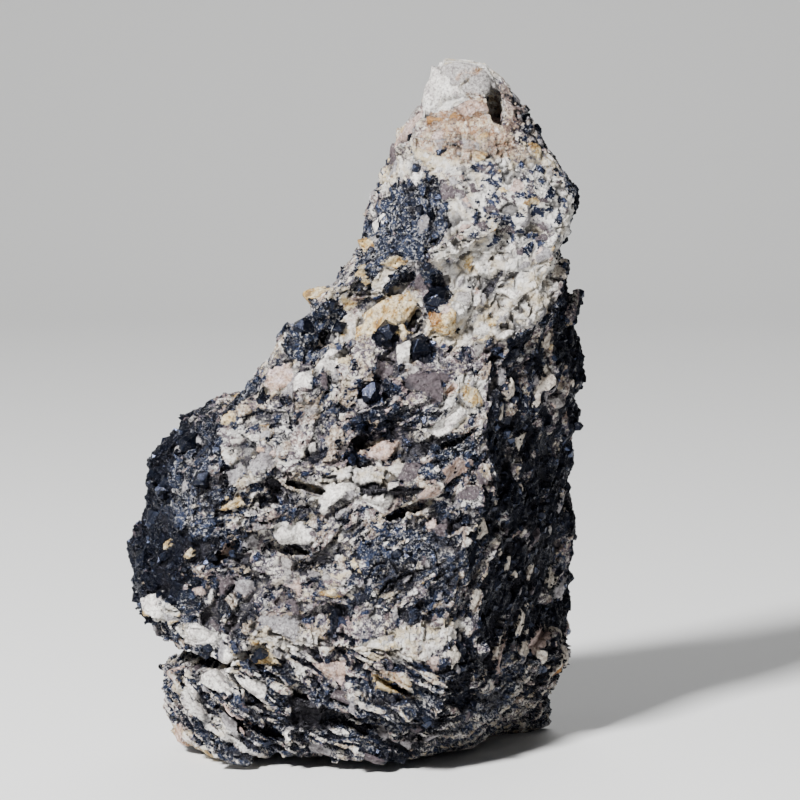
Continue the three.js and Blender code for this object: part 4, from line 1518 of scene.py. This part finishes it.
# The crystals that stand out. Each row: x, z, length, width, thickness, angle, tone.
CRYSTALS = (
    (12.8, 73, 3.8, 3.8, 3.5, 10, 0.45), (5.1, 67.5, 4.1, 3.5, 3.5, 30, 0.5), (10.1, 65.3, 4.4, 4.1, 3.8, 170, 0.6),
    (3.1, 58.4, 4.4, 4.1, 3.8, 50, 0.55), (-3.8, 71.9, 2.8, 2.5, 2.5, 0, 0.5), (-7.8, 68.5, 3.5, 3.1, 2.8, 20, 0.4),
    (9.7, 92.8, 2, 1.9, 1.9, 20, 0.8), (13.3, 95.3, 2.2, 1.6, 1.6, 30, 0.8), (8.9, 97.8, 1.9, 1.3, 1.6, 10, 0.3),
    (-14.5, 57, 2.5, 2.2, 2.2, 0, 0.5), (-2.3, 68, 2.8, 2.2, 2.5, 30, 0.7), (-29.7, 43.6, 4.7, 3.5, 3.5, 50, 0.5),
    (-31.8, 37.4, 4.1, 3.5, 3.5, 80, 0.7), (-26.6, 49.9, 4.4, 3.1, 3.5, 40, 0.4),
    (-33.7, 31.1, 4.1, 2.8, 3.1, 70, 0.6), (-23.5, 45.2, 3.5, 2.8, 3.1, 40, 0.5),
)


@dataclass
class LargeCrystals:
    """The franklinite crystals that stand out on the rock, each at its own place, as one piece."""

    name: str = "large_crystals"
    rows: tuple[tuple[float, ...], ...] = CRYSTALS
    seed: int = 11
    rise: float = -0.14

    def build(self, skin: RockSkin) -> bpy.types.Object:
        """Sets the crystals where they show on the rock.

        Args:
            skin: The finished rock.

        Returns:
            The piece.
        """
        draw = np.random.default_rng(self.seed)
        placed = []
        for x, z, length, width, thick, angle, _ in self.rows:
            spot, out = skin.seen(x, z)
            along = laid_on(seen_way(angle), out)
            basis = np.array(Matrix((along, out.cross(along), out)).transposed())
            model = GrainBench(draw).model(Form.LARGE_CRYSTAL)
            tilt = np.array(Euler(draw.uniform(-0.6, 0.6, 3)).to_matrix())
            corners = (model.corners - model.corners.mean(0)) @ tilt.T
            scale = np.array((length, width, thick)) / np.ptp(corners, axis=0)
            middle = np.array(spot + out * thick * self.rise)
            placed.append(Grain((corners * scale) @ basis.T + middle, model.faces))
        tones = np.array([row[6] for row in self.rows])
        return assemble(self.name, placed, FINISHES[Mineral.FRANKLINITE], tones)


# ---------------------------------------------------------------- the studio


@dataclass(frozen=True)
class Studio:
    """A plain pale floor that sweeps up behind, soft lights, and the camera."""

    floor_size: float = 3.2
    sweep: float = 0.6
    paint: Colour = (0.8, 0.8, 0.79)
    sky: Colour = (0.8, 0.83, 0.88)
    target: Triple = (0.0071, -0.004, 0.0563)
    elevation: float = 5.5
    distance: float = 0.46
    lens: float = 131.0
    world: float = 0.065
    aim: Triple = (0.0, 0.0, 0.05)
    lamps: tuple[tuple[str, Triple, float, float], ...] = (
        ("key light", (-0.42, -0.62, 0.66), 0.14, 30.0),
        ("side light", (-1.0, 0.05, 0.3), 0.5, 1.1),
        ("back light", (0.1, 1.0, 1.1), 0.9, 8.0),
        ("fill light", (0.8, -0.5, 0.35), 0.8, 0.08),
    )

    def build(self) -> None:
        """Builds the floor, the lights and the camera."""
        bpy.ops.object.select_all(action="DESELECT")
        bpy.ops.mesh.primitive_plane_add(size=self.floor_size, location=(0, 0, 0))
        floor = bpy.context.object
        floor.name = "floor"
        bpy.ops.object.mode_set(mode="EDIT")
        bpy.ops.mesh.select_mode(type="EDGE")
        bpy.ops.mesh.select_all(action="DESELECT")
        bpy.ops.object.mode_set(mode="OBJECT")
        for edge in floor.data.edges:
            edge.select = all(floor.data.vertices[n].co.y > 0 for n in edge.vertices)
        bpy.ops.object.mode_set(mode="EDIT")
        bpy.ops.mesh.extrude_region_move(TRANSFORM_OT_translate={"value": (0, 0, self.floor_size / 2)})
        bpy.ops.object.mode_set(mode="OBJECT")
        for edge in floor.data.edges:
            ends = [floor.data.vertices[n].co for n in edge.vertices]
            edge.select = all(end.y > 0 and end.z < 0.01 for end in ends)
        bpy.ops.object.mode_set(mode="EDIT")
        bpy.ops.mesh.bevel(offset=self.sweep, segments=16, affect="EDGES")
        bpy.ops.object.mode_set(mode="OBJECT")
        bpy.ops.object.shade_smooth()
        paint = bpy.data.materials.new("pale floor")
        paint.use_nodes = True
        shader = paint.node_tree.nodes["Principled BSDF"]
        shader.inputs["Base Color"].default_value = (*self.paint, 1.0)
        shader.inputs["Roughness"].default_value = 0.7
        floor.data.materials.append(paint)
        for row in self.lamps:
            self.light(*row)
        world = bpy.data.worlds.new("studio")
        bpy.context.scene.world = world
        world.use_nodes = True
        world.node_tree.nodes["Background"].inputs[0].default_value = (*self.sky, 1.0)
        world.node_tree.nodes["Background"].inputs[1].default_value = self.world
        data = bpy.data.cameras.new("camera")
        data.lens = self.lens
        camera = bpy.data.objects.new("camera", data)
        bpy.context.scene.collection.objects.link(camera)
        tilt = math.radians(self.elevation)
        away = Vector((0, -math.cos(tilt), math.sin(tilt))) * self.distance
        camera.location = Vector(self.target) + away
        camera.rotation_euler = (math.pi / 2 - tilt, 0, 0)
        bpy.context.scene.camera = camera

    def light(self, name: str, place: Triple, size: float, power: float) -> None:
        """Adds a soft square light aimed at the specimen.

        Args:
            name: The light's name.
            place: Where it hangs.
            size: Its side.
            power: Its power in watts.
        """
        data = bpy.data.lights.new(name, "AREA")
        data.size = size
        data.energy = power
        lamp = bpy.data.objects.new(name, data)
        bpy.context.scene.collection.objects.link(lamp)
        lamp.location = place
        aim = Vector(self.aim) - Vector(place)
        lamp.rotation_euler = aim.to_track_quat("-Z", "Y").to_euler()


def main() -> None:
    """Builds the studio, the rock and its loose grains, and parts the rock into pieces."""
    logging.basicConfig(level=logging.INFO)
    Studio().build()
    skin = RockSkin()
    skin.build()
    for scatter in (
        Scatter("franklinite_crystals", Mineral.FRANKLINITE, Form.CRYSTAL, 3000, (0.4, 1.9), (1, 1, 1), 0.34, 5),
        Scatter("ore_crumbs", Mineral.MIXED, Form.CRUMB, 12000, (0.2, 0.75), (1.0, 0.8, 0.7), 0.1, 8),
    ):
        scatter.build(skin)
    LargeCrystals().build(skin)
    skin.part()


if __name__ == "__main__":
    main()
